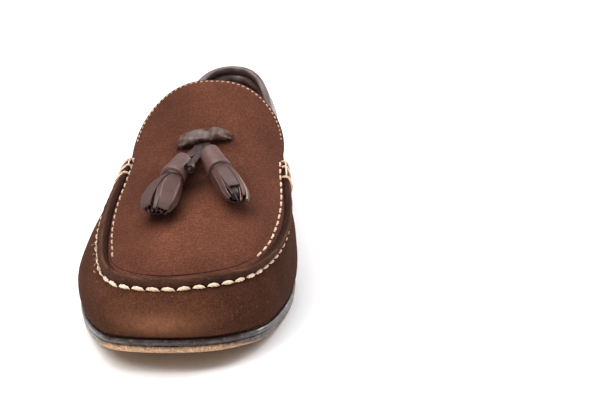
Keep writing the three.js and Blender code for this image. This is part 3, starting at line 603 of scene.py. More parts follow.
def stack_mat():
    """layers of leather up the heel"""
    m = Mat("heel_stack")
    m.set(Specular_IOR_Level=0.5, Coat_Roughness=0.2)
    m.b.inputs["Coat Weight"].default_value = 0.2
    wob = m.node("ShaderNodeSeparateXYZ", {0: m.co}).outputs[2]
    layers = m.node("ShaderNodeTexWave", {"Vector": m.node("ShaderNodeCombineXYZ", {2: wob}).outputs[0], "Scale": 52.0, "Distortion": 0.4}, bands_direction="Z").outputs[1]
    cloud = m.noise(200, 3, 0.6)
    base = m.mix(m.ramp(cloud, [(0.3, 0.0), (0.7, 1.0)]), srgb("#1d120e"), srgb("#3a261c"))
    base = m.mix(m.ramp(layers, [(0.0, 0.75), (0.1, 0.0)]), base, srgb("#0b0605"))
    m.link(base, "Base Color")
    m.link(m.ramp(cloud, [(0.3, 0.28), (0.7, 0.42)]), "Roughness")
    m.link(m.bump(layers, 0.25, 0.0003), "Normal")
    return m.m


def rubber_mat():
    m = Mat("lift_rubber")
    m.set(Specular_IOR_Level=0.3)
    c = m.noise(500, 3, 0.6)
    m.link(m.mix(m.ramp(c, [(0.3, 0.0), (0.7, 1.0)]), srgb("#14100e"), srgb("#2a2320")), "Base Color")
    m.link(m.ramp(c, [(0.3, 0.7), (0.7, 0.9)]), "Roughness")
    m.link(m.bump(m.noise(1800, 2, 0.5), 0.3, 0.0002), "Normal")
    return m.m


SUEDE_APRON = suede("suede_apron", "#704131", "#583123")
SUEDE_SIDE = suede("suede_side", "#533022", "#3b2217", dusty="#754b38", sheen=0.05, gloss=0.04)
SUEDE_SEAM = suede("suede_seam", "#45291f", "#2f1b14", dusty="#6d4a3a")
SUEDE_EDGE = suede("suede_cut_edge", "#4a2d22", "#2c1913")
LINING = smooth_leather("lining_leather", "#4a3430", "#2a1b18", rough=0.3, coat=0.3)
# the collar's pale colour serves its wear flecks and the painted sheen on the rolled rim and the band's outside
COLLAR = smooth_leather("collar_leather", "#4a332d", "#33211b", rough=0.34, coat=0.32, worn="#b9a09c")
TRIM = smooth_leather("trim_leather", "#603f39", "#4b302b", rough=0.44, coat=0.08, worn="#9c7c6c", grain=1100, fleck=0.12)
BOW_TRIM = smooth_leather("bow_leather", "#4c2e26", "#39211b", rough=0.46, coat=0.08, worn="#8a6a58", grain=1100, fleck=0.12)
FRINGE = smooth_leather("fringe_leather", "#52302a", "#3f241f", rough=0.5, coat=0.05, worn="#c39a84", fleck=0.04)
SOCK = smooth_leather("sock_leather", "#4b342a", "#38261e", rough=0.5, coat=0.05)
THREAD = thread_mat()
SOLE_EDGE, TREAD, STACK, LIFT = sole_edge_mat(), tread_mat(), stack_mat(), rubber_mat()


# ---------------------------------------------------------------- upper: side
def bump_of(d, half):
    return np.exp(-((d / half) ** 2) * 1.6)


STITCH_PITCH = 6.5
seam_t = np.linspace(-T_THROAT, T_THROAT, 2401)
seam_line, seam_norm, seam_share = near_seam(seam_t, seam_low(seam_t) + 0.25)
seam_arc = np.concatenate([[0], np.cumsum(np.linalg.norm(np.diff(seam_line, axis=0), axis=1))])
seam_arc -= np.interp(0, seam_t, seam_arc)


def seam_phase(t):
    """0 to 1 between stitch holes along the apron seam"""
    tt = np.where(t > np.pi, t - 2 * np.pi, t)
    a = np.interp(tt, seam_t, seam_arc)
    return a / STITCH_PITCH, np.abs(tt) < T_THROAT, np.interp(tt, seam_t, seam_share)


def side(t, v):
    """the side with its gathers, folds and dents"""
    t, v = np.broadcast_arrays(np.asarray(t, float), np.asarray(v, float))
    p = side_raw(t, v)
    n = side_n(t, v)
    ph, on, sv = seam_phase(t)
    gather = -0.26 * (0.5 + 0.5 * np.cos(2 * np.pi * ph)) * bump_of(v - sv + 0.02, 0.07)
    gather += -0.05 * np.cos(2 * np.pi * ph + 0.7 * np.sin(ph)) * bump_of(v - sv + 0.11, 0.11)
    d = np.where(on, gather, 0.0)
    for _, ft, fv, ht, hv, depth in SIDE_FOLDS:
        dt = np.angle(np.exp(1j * (t - ft)))
        d = d + depth * bump_of(dt + 0.25 * (v - fv), ht) * bump_of(v - fv, hv * 1.6)
    # slow unevenness of worn leather
    d = d + 0.16 * np.sin(7 * t + 3.1 * v) * np.sin(np.pi * v) + 0.10 * np.sin(17 * t - 5 * v + 1.3) * np.sin(np.pi * v)
    # the leather tucks in where it meets the sole
    d = d - 0.55 * np.exp(-((v / 0.035) ** 2))
    return p + n * d[..., None]


ROUND = 6.0  # millimetres either side of the apron's edge over which the fold is eased
ease_t = np.linspace(-T_THROAT, T_THROAT, 1201)
ease_edge = side_raw(np.mod(ease_t, 2 * np.pi), 1.0)
ease_a, ease_b = near_seam(ease_t, 0.4)[1], near_seam(ease_t, -0.5)[1]
turn = np.arccos(np.clip(np.sum(ease_a * ease_b, 1), -1, 1)) * np.sign(np.sum((ease_b - ease_a) * -edge_normal(ease_t), 1))
turn = np.convolve(np.pad(turn, 20, mode="edge"), np.ones(41) / 41, mode="valid")
turn *= smooth((T_THROAT - np.abs(ease_t)) / 0.12)
ease_n = unit(ease_a + ease_b)


def eased(t, d):
    """push that rounds the fold between side and apron: for angles t and distances d from the edge"""
    k = np.interp(t, ease_t, turn) / (4 * ROUND) * np.clip(ROUND - np.abs(d), 0, None) ** 2
    n = np.stack([np.interp(t, ease_t, ease_n[:, c]) for c in range(3)], -1)
    return -n * k[..., None]


# painted shade on the suede next to the raised seam
RIDGE_SHADE_TONE = -0.34
NT, NV = 620, 84
ts_all = np.linspace(0, 2 * np.pi, NT, endpoint=False)
# stations meet the throat corners exactly
ts_all[np.argmin(np.abs(ts_all - T_THROAT))] = T_THROAT
ts_all[np.argmin(np.abs(ts_all - (2 * np.pi - T_THROAT)))] = 2 * np.pi - T_THROAT
vs = np.linspace(0, 1, NV) ** 0.92
TT, VV = np.meshgrid(ts_all, vs)
outer = side(TT, VV)
nrm = side_n(TT, VV)
signed_t = np.where(TT > np.pi, TT - 2 * np.pi, TT)
front = np.abs(signed_t) <= T_THROAT + 1e-6
below = np.cumsum(np.linalg.norm(np.diff(outer[::-1], axis=0, prepend=outer[-1:]), axis=2), 0)[::-1]  # distance under the edge
outer = outer + np.where(front[..., None], eased(np.clip(signed_t, -T_THROAT, T_THROAT), below), 0.0)
inner = side_raw(TT, VV) - nrm * WALL
inner[0, :, 2] = outer[0, :, 2]
# tone: a paler patch low on the toe; painted shade towards the seam, in the tuck against the sole, over the inner side
# and in two low patches either side of the toe
dt0 = np.angle(np.exp(1j * (TT + 0.0)))
tone = 0.40 * bump_of(dt0, 0.21) * bump_of(VV - 0.33, 0.24) + 0.14 * bump_of(dt0 - 0.02, 0.34) * bump_of(VV - 0.34, 0.26)
tone += 0.10 * bump_of(np.angle(np.exp(1j * (TT - 0.42))), 0.25) * bump_of(VV - 0.35, 0.3)
tone -= 0.16 * smooth((VV - 0.66) / 0.25) * (np.abs(np.angle(np.exp(1j * TT))) < T_THROAT)
tone -= 0.30 * np.exp(-((VV / 0.05) ** 2))
tone -= 0.40 * smooth((np.sin(TT) - 0.30) / 0.6)
tone -= 0.26 * bump_of(np.angle(np.exp(1j * (TT + 0.62))), 0.32) * bump_of(VV - 0.22, 0.4) + 0.16 * bump_of(np.angle(np.exp(1j * (TT - 0.40))), 0.2) * bump_of(VV - 0.15, 0.25)
tone += 0.05 * np.sin(5 * TT + 4 * VV)
lo_t, hi_t = seam_low(signed_t), seam_high(signed_t)
plug = front & (below < (lo_t + hi_t) / 2)
# under the seam bead: painted shade, darkest in the groove at the bead's inner edge
tone = np.where(plug, RIDGE_SHADE_TONE - 0.45 * bump_of(below - hi_t, 1.3) * smooth(hi_t / 1.5), tone)
b = Build()
b.add(outer, wrap=True, mat=np.where(plug, 3, 0), attr=tone)
b.add(inner[::4], wrap=True, flip=True, mat=1, attr=-0.15)
b.add(np.stack([inner[0], outer[0]]), wrap=True, mat=2, attr=-0.2)  # feather rim
b.add(np.stack([outer[-1], inner[-1]]), wrap=True, mat=2, attr=-0.1)  # top rim
upper_side = b.piece("upper_side", [SUEDE_SIDE, LINING, SUEDE_EDGE, SUEDE_APRON], node="upper")

# ---------------------------------------------------------------- upper: apron and tongue
def apron_skin(u, s, h=0.0):
    p = apron_u(u, s)
    q, n = on_apron(p[..., 0], p[..., 1])
    d = np.zeros(p.shape[:-1])
    for _, fx, fs, hl, hw, turn, depth in APRON_FOLDS:
        a = math.radians(turn)
        dx, ds = p[..., 0] - fx, p[..., 1] - fs
        lo = dx * math.sin(a) + ds * math.cos(a)  # along the fold
        ac = dx * math.cos(a) - ds * math.sin(a)
        d += depth * bump_of(lo, hl) * bump_of(ac + 0.004 * lo**2, hw)
    d += 0.10 * np.sin(p[..., 0] * 0.21 + 0.6) * np.sin(p[..., 1] * 0.13) * (1 - np.abs(u) ** 6)
    d *= 1 - np.abs(u) ** 10
    d -= 0.28 * bump_of(np.hypot((p[..., 0] + 12.3), (p[..., 1] - 121.6)), 3.2)  # slits of the bow
    d -= 0.28 * bump_of(np.hypot((p[..., 0] - 13.8), (p[..., 1] - 128.4)), 3.2)
    return p + n * (d + h)[..., None], n


NU = 176
us = np.linspace(-1, 1, NU)
us = np.sign(us) * (1 - (1 - np.abs(us)) ** 1.12)
front_t = np.concatenate([[0.001, 0.007], np.linspace(0, T_THROAT, 210)[1:]])
rows_s = along(front_t, SEAM_S, TOPLINE_S)
UU, SS = np.meshgrid(us, rows_s)
ws = np.linspace(0, 1, 84)[1:]
UT, WT = np.meshgrid(us, ws)
ST = THROAT_S + WT * (tongue_edge(UT) - THROAT_S)
U_all, S_all = np.concatenate([UU, UT]), np.concatenate([SS, ST])
skin, sn = apron_skin(U_all, S_all)
# the tongue's edge turns down a little
near = np.concatenate([np.zeros_like(UU), WT])
back = np.clip((near - 0.94) / 0.06, 0, 1)
skin = skin - sn * (0.45 * back**2)[..., None]
under_skin = skin - sn * WALL * (1 - 0.25 * back[..., None])
# side points of the first rows sit on the seam; the corner is shared
# apron tone: darker overall; painted shade towards the outer side and along the sides of the toe, painted light over
# the middle of the toe and on the tongue, painted highlight along the tongue's top edge; a slow wave of uneven colour
ap_tone = -0.38 - 0.07 * smooth((-U_all - 0.1) / 0.5) + 0.34 * bump_of(U_all + 0.05, 0.85) * bump_of(S_all - 50, 34)
ap_tone += 0.10 * bump_of(U_all - 0.15, 0.5) * bump_of(S_all - 150, 60) + 0.16 * smooth((S_all - 168) / 24)
ap_tone -= 0.10 * smooth((np.abs(U_all) - 0.86) / 0.14) * (S_all < 100)
ap_tone += 0.04 * np.sin(U_all * 5 + S_all * 0.09)
# painted shadow under the tassels, under their tips and beside the bow
ap_tone -= 0.5 * bump_of(np.hypot(U_all * 40 + 1.0, (S_all - 93) / 1.3), 8)
ap_tone -= 0.25 * bump_of(np.hypot((U_all * 40 + 14), (S_all - 60) / 0.8), 9) + 0.22 * bump_of(np.hypot(U_all * 40 - 22, (S_all - 71) / 0.8), 8)
ap_tone -= 0.22 * bump_of(np.hypot(U_all * 40 + 12, (S_all - 118)), 6) + 0.18 * bump_of(np.hypot(U_all * 40 - 14, (S_all - 125)), 6)
# ease the fold at the apron's edge
tree = mathutils.kdtree.KDTree(len(ease_edge))
for k, q in enumerate(ease_edge):
    tree.insert(q, k)
tree.balance()
found = [tree.find(q)[1:] for q in skin.reshape(-1, 3)]
near_t = ease_t[np.array([k for k, _ in found])].reshape(U_all.shape)
near_d = np.array([d for _, d in found]).reshape(U_all.shape)
fade_back = 1 - smooth((S_all - THROAT_S + 8) / 8)
skin = skin + eased(near_t, near_d) * fade_back[..., None]
# painted shade next to the seam
mixed = (1 - smooth(near_d / 7)) * fade_back
ap_tone = ap_tone * (1 - mixed) + RIDGE_SHADE_TONE * mixed
# painted shade in the groove behind the seam, darkest across the toe
toe_side = 1 - smooth((np.abs(np.angle(np.exp(1j * near_t))) - 0.42) / 0.3)
ap_tone -= 0.62 * toe_side * (1 - smooth((near_d - 0.26 - 0.14 * np.sin(U_all * 9 + 1)) / 0.55))
b = Build()
b.add(skin, mat=0, attr=ap_tone)
b.add(under_skin[::2, ::2], flip=True, mat=1, attr=-0.1)
edge_o, edge_i = skin[-1], under_skin[-1]
mid = (edge_o + edge_i) / 2
outw = unit(edge_o - skin[-2]) * 0.35
b.add(np.stack([edge_o, mid + outw, edge_i]), mat=2, attr=-0.25)
upper_apron = b.piece("upper_apron", [SUEDE_APRON, LINING, SUEDE_EDGE], node="upper")

# ---------------------------------------------------------------- raised moccasin seam
RIDGE_HIGH = 2.7
nr = 900
rt = np.linspace(-T_THROAT * 0.985, T_THROAT * 0.985, nr)
rtt = np.mod(rt, 2 * np.pi)
A, An, _ = near_seam(rt, seam_low(rt), 0.1)
Bp, Bn, _ = near_seam(rt, seam_high(rt), 0.1)
across = Bp - A
width = np.linalg.norm(across, axis=1)
e1 = across / width[:, None]
up = An + Bn
up = unit(up - e1 * np.sum(up * e1, 1, keepdims=True))
ph = seam_phase(rtt)[0]
end = np.minimum(1, (1.02 - np.abs(rt) / T_THROAT) / 0.14)
high = RIDGE_HIGH * (0.45 + 0.55 * np.sqrt(np.maximum(0, end)))
na = 30
ang = np.linspace(0, np.pi, na)
sec = []
rtone = []
for k, a in enumerate(ang):
    c, s_ = math.cos(a), math.sin(a)
    # outer shoulder rounded, inner edge crisp
    pw = 2.3 if c > 0 else 3.4
    cx = math.copysign(abs(c) ** (2 / pw), c)
    sy = abs(s_) ** (2 / pw)
    pinch = 0.5 + 0.5 * np.cos(2 * np.pi * ph)
    wob = 0.10 * np.sin(ph * 2.1 + k * 0.2) + 0.07 * np.sin(ph * 5.3 + 1)
    hh = high * (1 - 0.07 * pinch * max(0, c)) + wob * s_
    side_in = -0.32 * pinch * max(0.0, c) * s_
    sec.append(A + e1 * (width * (0.5 + 0.56 * (-cx)) - side_in)[:, None] + up * (hh * sy + 0.15)[:, None])
    # bead tone: painted shade down its sides, in the pinches and on its inner face, darkest across the toe; a painted
    # highlight along the crest; a little uneven colour
    rtone.append(np.full(nr, -0.12 * (1 - s_) - 0.05 + 0.22 * bump_of(a / np.pi - 0.57, 0.07)) - 0.10 * pinch * max(0, c) + 0.07 * np.sin(ph * 1.7 + 0.3 * k) + 0.05 * np.sin(ph * 4.3 + k) - (0.45 + 0.35 * bump_of(rt, 0.7)) * smooth((a / np.pi - 0.66) / 0.1))
rt_pts = np.stack(sec, 1)
b = Build()
b.add(rt_pts, wrap=True, mat=0, attr=np.stack(rtone, 1), cap0=True, cap1=True)
ridge = b.piece("apron_ridge_detail", [SUEDE_SEAM], node="apron_ridge")


# ---------------------------------------------------------------- hand stitches
def stitch(b, p0, p1, n0, rise=0.55, r=0.62, tone=0.0, strands=3, loose=0.0, sink=0.5, steps=11, taper=5.0):
    """one stitch of twisted strands from p0 to p1, bowed along n0"""
    length = np.linalg.norm(p1 - p0)
    u = np.linspace(-0.04, 1.04, steps)
    f = unit((p1 - p0)[None])[0]
    w = unit(np.cross(n0, f)[None])[0]
    bow = np.clip(1 - np.abs(2 * u - 1) ** 4, -1, 1)
    centre = p0 + f * (u * length)[:, None] + n0 * (rise * bow - sink * (1 - bow))[:, None]
    fat = np.sqrt(np.clip(1 - np.abs(2 * u - 1) ** taper, 0.05, 1))
    for k in range(strands):
        twist = u * length * 1.05 + 2 * np.pi * k / strands
        amp = r * 0.52 * fat
        jit = RNG.normal(0, loose, 2) if loose else (0.0, 0.0)
        line = centre + w * (amp * np.cos(twist) + jit[0] * bow)[:, None] + n0 * (amp * np.sin(twist) + abs(jit[1]) * bow)[:, None]
        fr, ww, hh = sweep_frames(line, np.broadcast_to(n0, line.shape))
        rad = r * (0.66 if not loose else 0.42) * fat
        sec = oval(1, 1, 7)
        pts = line[:, None] + ww[:, None] * (sec[None, :, :1] * rad[:, None, None]) + hh[:, None] * (sec[None, :, 1:] * rad[:, None, None])
        b.add(pts, wrap=True, attr=tone, cap0=True, cap1=True)


def seam_point(arc, lift):
    t = float(np.interp(arc, seam_arc, seam_t))
    p, n, _ = near_seam(t, seam_low(t) + 1.0, lift)
    return p[0], n[0], t


b = Build()
total = seam_arc[-1]
first = int(np.ceil((seam_arc[0] + 6) / STITCH_PITCH))
last = int(np.floor((seam_arc[-1] - 6) / STITCH_PITCH))
for k in range(first, last):
    a0, a1 = (k + 0.10) * STITCH_PITCH, (k + 0.90) * STITCH_PITCH
    p0, n0, t0 = seam_point(a0 + RNG.normal(0, 0.12), 0.75)
    p1, n1, t1 = seam_point(a1 + RNG.normal(0, 0.12), 0.75)
    slant = RNG.normal(0.16, 0.16)
    p0, p1 = p0 + np.array([0, 0, slant]), p1 - np.array([0, 0, slant])
    tm = (t0 + t1) / 2
    worn = 0.0
    if -1.05 < tm < -0.42:  # dirty and frayed at the outer front
        worn = 1.0
    elif tm < -1.05:
        worn = 0.6
    elif tm > 0.62:
        worn = 0.45
    tone_k = (0.10 + 0.25 * RNG.random()) * worn + 0.06 * RNG.random()
    stitch(b, p0, p1, unit((n0 + n1)[None])[0], rise=0.12, sink=0.45, r=0.80 if worn < 0.3 else 0.62 if worn < 0.9 else 0.56, taper=2.0 if worn < 0.9 else 4.0, steps=13, tone=tone_k, loose=0.28 * worn if worn > 0.5 else 0.0)
    if worn >= 1.0:  # stray fibres
        for _ in range(2):
            m = (p0 + p1) / 2 + RNG.normal(0, 0.9, 3)
            stitch(b, m, m + unit((unit((p1 - p0)[None])[0] * 0.9 + RNG.normal(0, 0.45, 3))[None])[0] * 1.5 + n0 * 0.2, n0, rise=0.25, r=0.16, tone=0.2, strands=1, sink=0)
stitches_outer = b.piece("stitches_outer", [THREAD])

# inner row, on the apron just inside the ridge
b = Build()
IN_PITCH = 6.3
for sg, ta, tb in ((-1, -T_THROAT + 0.012, -0.455), (1, 0.60, T_THROAT - 0.012)):
    it = np.linspace(ta, tb, 1400)
    line, ln, _ = near_seam(it, seam_in(it), 0.0)
    dist = np.abs(seam_in(it))
    line = line + eased(it, dist) + ln * 0.05
    arc = np.concatenate([[0], np.cumsum(np.linalg.norm(np.diff(line, axis=0), axis=1))])
    for k in range(int(arc[-1] // IN_PITCH)):
        q0, q1 = ((k + 0.08 + RNG.normal(0, 0.015)) * IN_PITCH, (k + (0.80 if sg > 0 else 0.72) + RNG.normal(0, 0.02)) * IN_PITCH)
        at = lambda v, a: np.array([np.interp(a, arc, v[:, c]) for c in range(3)])
        thread_tone = (0.30 if sg < 0 else 0.08) + 0.22 * RNG.random()
        stitch(b, at(line, q0), at(line, q1), unit(at(ln, (q0 + q1) / 2)[None])[0], rise=0.34, r=0.40 if sg < 0 else 0.47, tone=thread_tone)
stitches_inner = b.piece("stitches_inner", [THREAD])

# wraps over the ridge at both throat corners
b = Build()
WRAP_S = (117.5, 125.5, 133.0)
for sg in (-1, 1):
    rungs = []
    for j, s0 in enumerate(WRAP_S):
        t = float(angle_of(s0, SEAM_S, TOPLINE_S)) * sg
        i = int(np.argmin(np.abs(rt - t)))
        for dk in (0,):
            loop = rt_pts[i + dk]
            mid_p = loop.mean(0)
            out_n = unit(loop - (A[i] + Bp[i]) / 2)
            path = loop[1:-1] + out_n[1:-1] * 0.42
            # slant of the wrap along the seam
            fwd = unit((rt_pts[min(i + 4, nr - 1)] - rt_pts[max(i - 4, 0)]).mean(0)[None])[0] * sg
            path = path + fwd * np.linspace(-0.9, 0.9, len(path))[:, None]
            rungs.append(path[-2] + out_n[-2] * 0.1 + up[i] * 0.3)
            path = np.concatenate([[path[0] - up[i] * 1.6], path, [path[-1] - up[i] * 1.4]])
            for k in range(3):
                tw = np.linspace(0, 9, len(path)) + 2 * np.pi * k / 3
                f_, w_, h_ = sweep_frames(path, np.broadcast_to(up[i], path.shape) + 0.01)
                ln = path + fwd * (0.30 * np.cos(tw))[:, None] + out_n[np.r_[0, 1 : len(out_n) - 1, -1]] * (0.30 * np.sin(tw))[:, None]
                fr, ww, hh = sweep_frames(ln, np.broadcast_to(fwd, ln.shape))
                sec7 = oval(0.38, 0.38, 7)
                pts = ln[:, None] + ww[:, None] * sec7[None, :, :1] + hh[:, None] * sec7[None, :, 1:]
                b.add(pts, wrap=True, attr=0.10 + 0.05 * j, cap0=True, cap1=True)
    # one thread runs on from wrap to wrap along the bead's inner foot
    for r0, r1 in ((2, 1), (1, 0)) if sg > 0 else ((2, 1),):
        stitch(b, rungs[r0], rungs[r1], up[int(np.argmin(np.abs(rt - sg * 1.2)))], rise=0.25, r=0.40, tone=0.12, sink=0.1)
stitches_wrap = b.piece("stitches_wrap", [THREAD])

# fine stitching inside the tongue's free edge
b = Build()
uu = np.linspace(-0.985, 0.985, 1600)
se = tongue_edge(uu)
pe = apron_u(uu, se)
te = unit(np.gradient(pe, axis=0))
_, ne = on_apron(pe[:, 0], np.minimum(se, TONGUE_S), 0.0)
inw = unit(np.cross(te, ne))
inw *= np.sign(np.sum(inw * (np.array([0.0, THROAT_S - 20, 60.0]) - pe), 1))[:, None]
ln_xy = pe + inw * 2.3
line, lnn = on_apron(ln_xy[:, 0], ln_xy[:, 1], 0.0)
arc = np.concatenate([[0], np.cumsum(np.linalg.norm(np.diff(line, axis=0), axis=1))])
for k in range(int(arc[-1] // 2.95)):
    i0 = int(np.interp((k + 0.18) * 2.95, arc, np.arange(len(uu))))
    i1 = int(np.interp((k + 0.78) * 2.95, arc, np.arange(len(uu))))
    # thread darker towards the tongue's inner side near the throat
    thread_tone = 0.26 + 0.24 * RNG.random() + 0.35 * smooth((line[i0, 0] - 33) / 5) * smooth((190 - line[i0, 1]) / 10)
    stitch(b, line[i0], line[i1], lnn[i0], rise=0.14, r=0.33, tone=thread_tone, strands=2, sink=0.25, steps=7)
stitches_tongue = b.piece("stitches_tongue", [THREAD])

# ---------------------------------------------------------------- collar binding, padded on the inside
START_S, BAND, LINED = 147.0, 12.0, 9.0
t0 = float(angle_of(START_S, SEAM_S, TOPLINE_S))
nb = 420
bt = np.linspace(t0, 2 * np.pi - t0, nb)
edge = side_raw(bt, np.ones(nb))
foot = side_raw(bt, np.zeros(nb))
tall = edge[:, 2] - foot[:, 2]


slim = 0.35 + 0.65 * smooth((along(np.minimum(bt, 2 * np.pi - bt), SEAM_S, TOPLINE_S) - 172) / 60)  # the band thins towards its front ends


def band_pt(drop, off):
    v = 1 - np.asarray(drop) / tall
    push = off * slim if off > 0 else off
    return side_raw(bt, v) + side_n(bt, v) * (push[:, None] if np.ndim(push) else push)


flat_n = side_n(bt, np.ones(nb))
flat_n[:, 2] = 0
flat_n = unit(flat_n)


def rim_pt(off, upz):
    q = edge + flat_n * (off * np.where(off > 0, slim, 1.0))[:, None]
    q[:, 2] = edge[:, 2] + upz
    return q


o, i_ = GAP + 0.15, -WALL - 0.5
mid_off, half_w = (o + 0.9 + i_ - 1.1) / 2, (o + 0.9 - i_ + 1.1) / 2
puck = 0.10 * np.sin(bt * 95) + 0.08 * np.sin(bt * 41 + 1)
prof = [band_pt(BAND, 0.12), band_pt(BAND - 0.15, o + 0.45), band_pt(BAND - 0.9, o + 0.7), band_pt(BAND * 0.6, o + 0.8), band_pt(BAND * 0.35, o + 0.85)]
# the band's foot darker as painted shade where it tucks against the quarter
tones = [-0.3, -0.1, 0.0, 0.0, 0.0]
prof += [band_pt(2.6, o + 0.9)]
tones += [0.03]
for k in range(1, 10):  # rolled rim
    a = math.pi * k / 10
    prof.append(rim_pt(mid_off + half_w * math.cos(a) * 0.97, -0.9 + 2.3 * math.sin(a) ** 0.8))
    # painted highlight along the rim's crown
    tones.append(0.10 * math.sin(a))
inside_rows = [(1.6, -1.1), (2.8, -1.0), (3.6, -0.65), (4.2, -1.2), (5.2, -2.1), (6.6, -2.5), (8.2, -2.3), (9.6, -1.6), (10.6, -0.7), (11.0, 0.1)]
for d_, off in inside_rows:
    prof.append(band_pt(d_, i_ + off) + 0 * flat_n)
    # inside: painted shade in the stitch groove, painted highlight on the padded roll
    tones.append(-0.35 if d_ == 3.6 else (0.06 if 5 < d_ < 9 else -0.08))
sec = np.stack(prof, 1)
closing = [band_pt(6.0, i_ + 0.35), band_pt(0.3, i_ + 0.5), rim_pt(i_ + 0.5, 0.25), rim_pt(0.2, 0.25), band_pt(6.0, 0.15)]
sec = np.concatenate([sec, np.stack(closing, 1)], 1)
tn = np.array(tones + [-0.3] * len(closing))
# a ramp over the band's last stations at each end
nfade = 16
fade = np.clip(np.minimum(np.arange(nb), np.arange(nb)[::-1]) / nfade, 0, 1)
b = Build()
ct = np.broadcast_to(tn, sec.shape[:2]) + 0.05 * np.sin(bt * 23)[:, None]
# painted pale sheen on the outside of the band at the inner side, around s 200
collar_sheen = np.zeros(sec.shape[1])
collar_sheen[1:10] = np.array([0.12, 0.2, 0.26, 0.3, 0.32, 0.3, 0.2, 0.12, 0.06])
s_here = along(np.minimum(bt, 2 * np.pi - bt), SEAM_S, TOPLINE_S)
ct = ct + collar_sheen[None] * (bump_of(s_here - 200, 40) * (bt < np.pi))[:, None]
b.add(sec, wrap=True, mat=0, attr=ct, flip=True)
nrows = sec.shape[1]
for row, turn in ((0, False), (nb - 1, True)):
    outer_run, back_run = sec[row, : 25], np.concatenate([sec[row, :1], sec[row, 24:][::-1]])
    m_ = 25
    br = np.stack([np.interp(np.linspace(0, 1, m_), np.linspace(0, 1, len(back_run)), back_run[:, k]) for k in range(3)], -1)
    b.add(np.stack([outer_run, br]), mat=0, attr=-0.2, flip=turn)
binding = b.piece("collar_binding_detail", [COLLAR], node="collar_binding")

# stitches along the foot of the band
b = Build()
line = band_pt(BAND - 1.6, o + 1.0)
ln = side_n(bt, 1 - (BAND - 1.6) / tall)
arc = np.concatenate([[0], np.cumsum(np.linalg.norm(np.diff(line, axis=0), axis=1))])
for k in range(int(arc[-1] // 3.0)):
    q = [np.array([np.interp(a, arc, line[:, c]) for c in range(3)]) for a in ((k + 0.15) * 3.0, (k + 0.8) * 3.0)]
    m_ = np.array([np.interp((k + 0.5) * 3.0, arc, ln[:, c]) for c in range(3)])
    stitch(b, q[0], q[1], m_, rise=0.12, r=0.27, tone=0.75, strands=2, sink=0.2, steps=7)
stitches_collar = b.piece("stitches_collar", [THREAD])


# ---------------------------------------------------------------- sole, insole, heel
def outline_rows(levels, ts):
    """levels: (out, height function or number above the underside)"""
    rows = []
    for out, z in levels:
        x, s, _, _ = sole_point(ts, out)
        rows.append(np.stack([x, s, z(s)], -1))
    return np.stack(rows)


def slab_faces(b, rows, mats, tones_, top_mat, bottom_mat, inset_steps=10):
    """levels round, then caps that shrink towards the shoe's centre line"""
    for j in range(len(rows) - 1):
        b.add(rows[j : j + 2], wrap=True, mat=mats[j], attr=np.stack([np.broadcast_to(tones_[j + q], rows.shape[1]) for q in (0, 1)]))
    n = rows.shape[1]
    for r, mt, fl, tv in ((rows[-1], top_mat, False, 0.0), (rows[0], bottom_mat, True, 0.0)):
        # rows across the shoe between the two sides
        half_n = n // 2
        inn = r[: half_n]
        out_ = r[n - 1 : half_n - 1 : -1]
        k = np.linspace(0, 1, inset_steps + 1)[None, :, None]
        g_ = inn[:, None] * (1 - k) + out_[:, None] * k
        b.add(g_, mat=mt, attr=tv, flip=not fl)


paired = (np.arange(520) + 0.5) / 520 * 2 * np.pi
edge_levels = [(-1.3, 0.0), (-0.45, 0.12), (-0.05, 0.6), (0.08, 1.3), (0.10, 2.3), (0.0, 2.85), (-0.32, 3.1), (-0.1, 3.4), (0.32, 3.75), (0.56, 4.3), (0.58, 4.9), (0.35, 5.5), (-0.15, 5.9), (-0.9, 6.02), (-1.7, 5.98)]
wear = 0.12 * np.sin(paired * 9 + 1) + 0.08 * np.sin(paired * 23)
rows = outline_rows([(o_, (lambda s, u_=u_: under(s) + u_)) for o_, u_ in edge_levels], paired)
# the toe is scuffed lower
b = Build()
turned = np.angle(np.exp(1j * (paired + 0.10)))  # bare leather shows along the toe; elsewhere the edge is dark but for its lowest line
covered = np.maximum(smooth((np.abs(turned) - 0.38) / 0.34), 0.85 * smooth((-rows[0][:, 0] - 24) / 14))
slab_faces(b, rows, [0] * 14, [u_ / 6 + wear * (0.3 if 0.3 < u_ < 3.4 else 0) + 0.55 * covered * smooth((u_ - 0.3) / 0.9) for _, u_ in edge_levels], 0, 1)
outsole = b.piece("outsole_detail", [SOLE_EDGE, TREAD], node="outsole")


def sock_z(extra):
    return lambda s: under(s) + SOLE_THICK + GAP + extra


rows = outline_rows([(-4.4, sock_z(0.02)), (-3.9, sock_z(0.8)), (-3.85, sock_z(1.8)), (-4.1, sock_z(2.5)), (-4.8, sock_z(2.95)), (-6.0, sock_z(3.0))], paired)
b = Build()
slab_faces(b, rows, [0] * 5, [-0.2, -0.1, 0, 0, 0, 0], 0, 0)
insole = b.piece("insole_detail", [SOCK], node="insole")

T_HEEL = float(angle_of(HEEL_S, 0, LENGTH))
heel_ts = np.concatenate([np.linspace(T_HEEL, 2 * np.pi - T_HEEL, 240)])


def heel_rows(levels):
    r = outline_rows(levels, heel_ts)
    for j, (out, _) in enumerate(levels):
        r[j, 0, 1] = r[j, -1, 1] = HEEL_S + (out + 1.2) * -0.5
        k = np.linspace(0, 1, 42)[1:-1, None]
        front = r[j, -1] * (1 - k) + r[j, 0] * k
        yield np.concatenate([r[j], front])


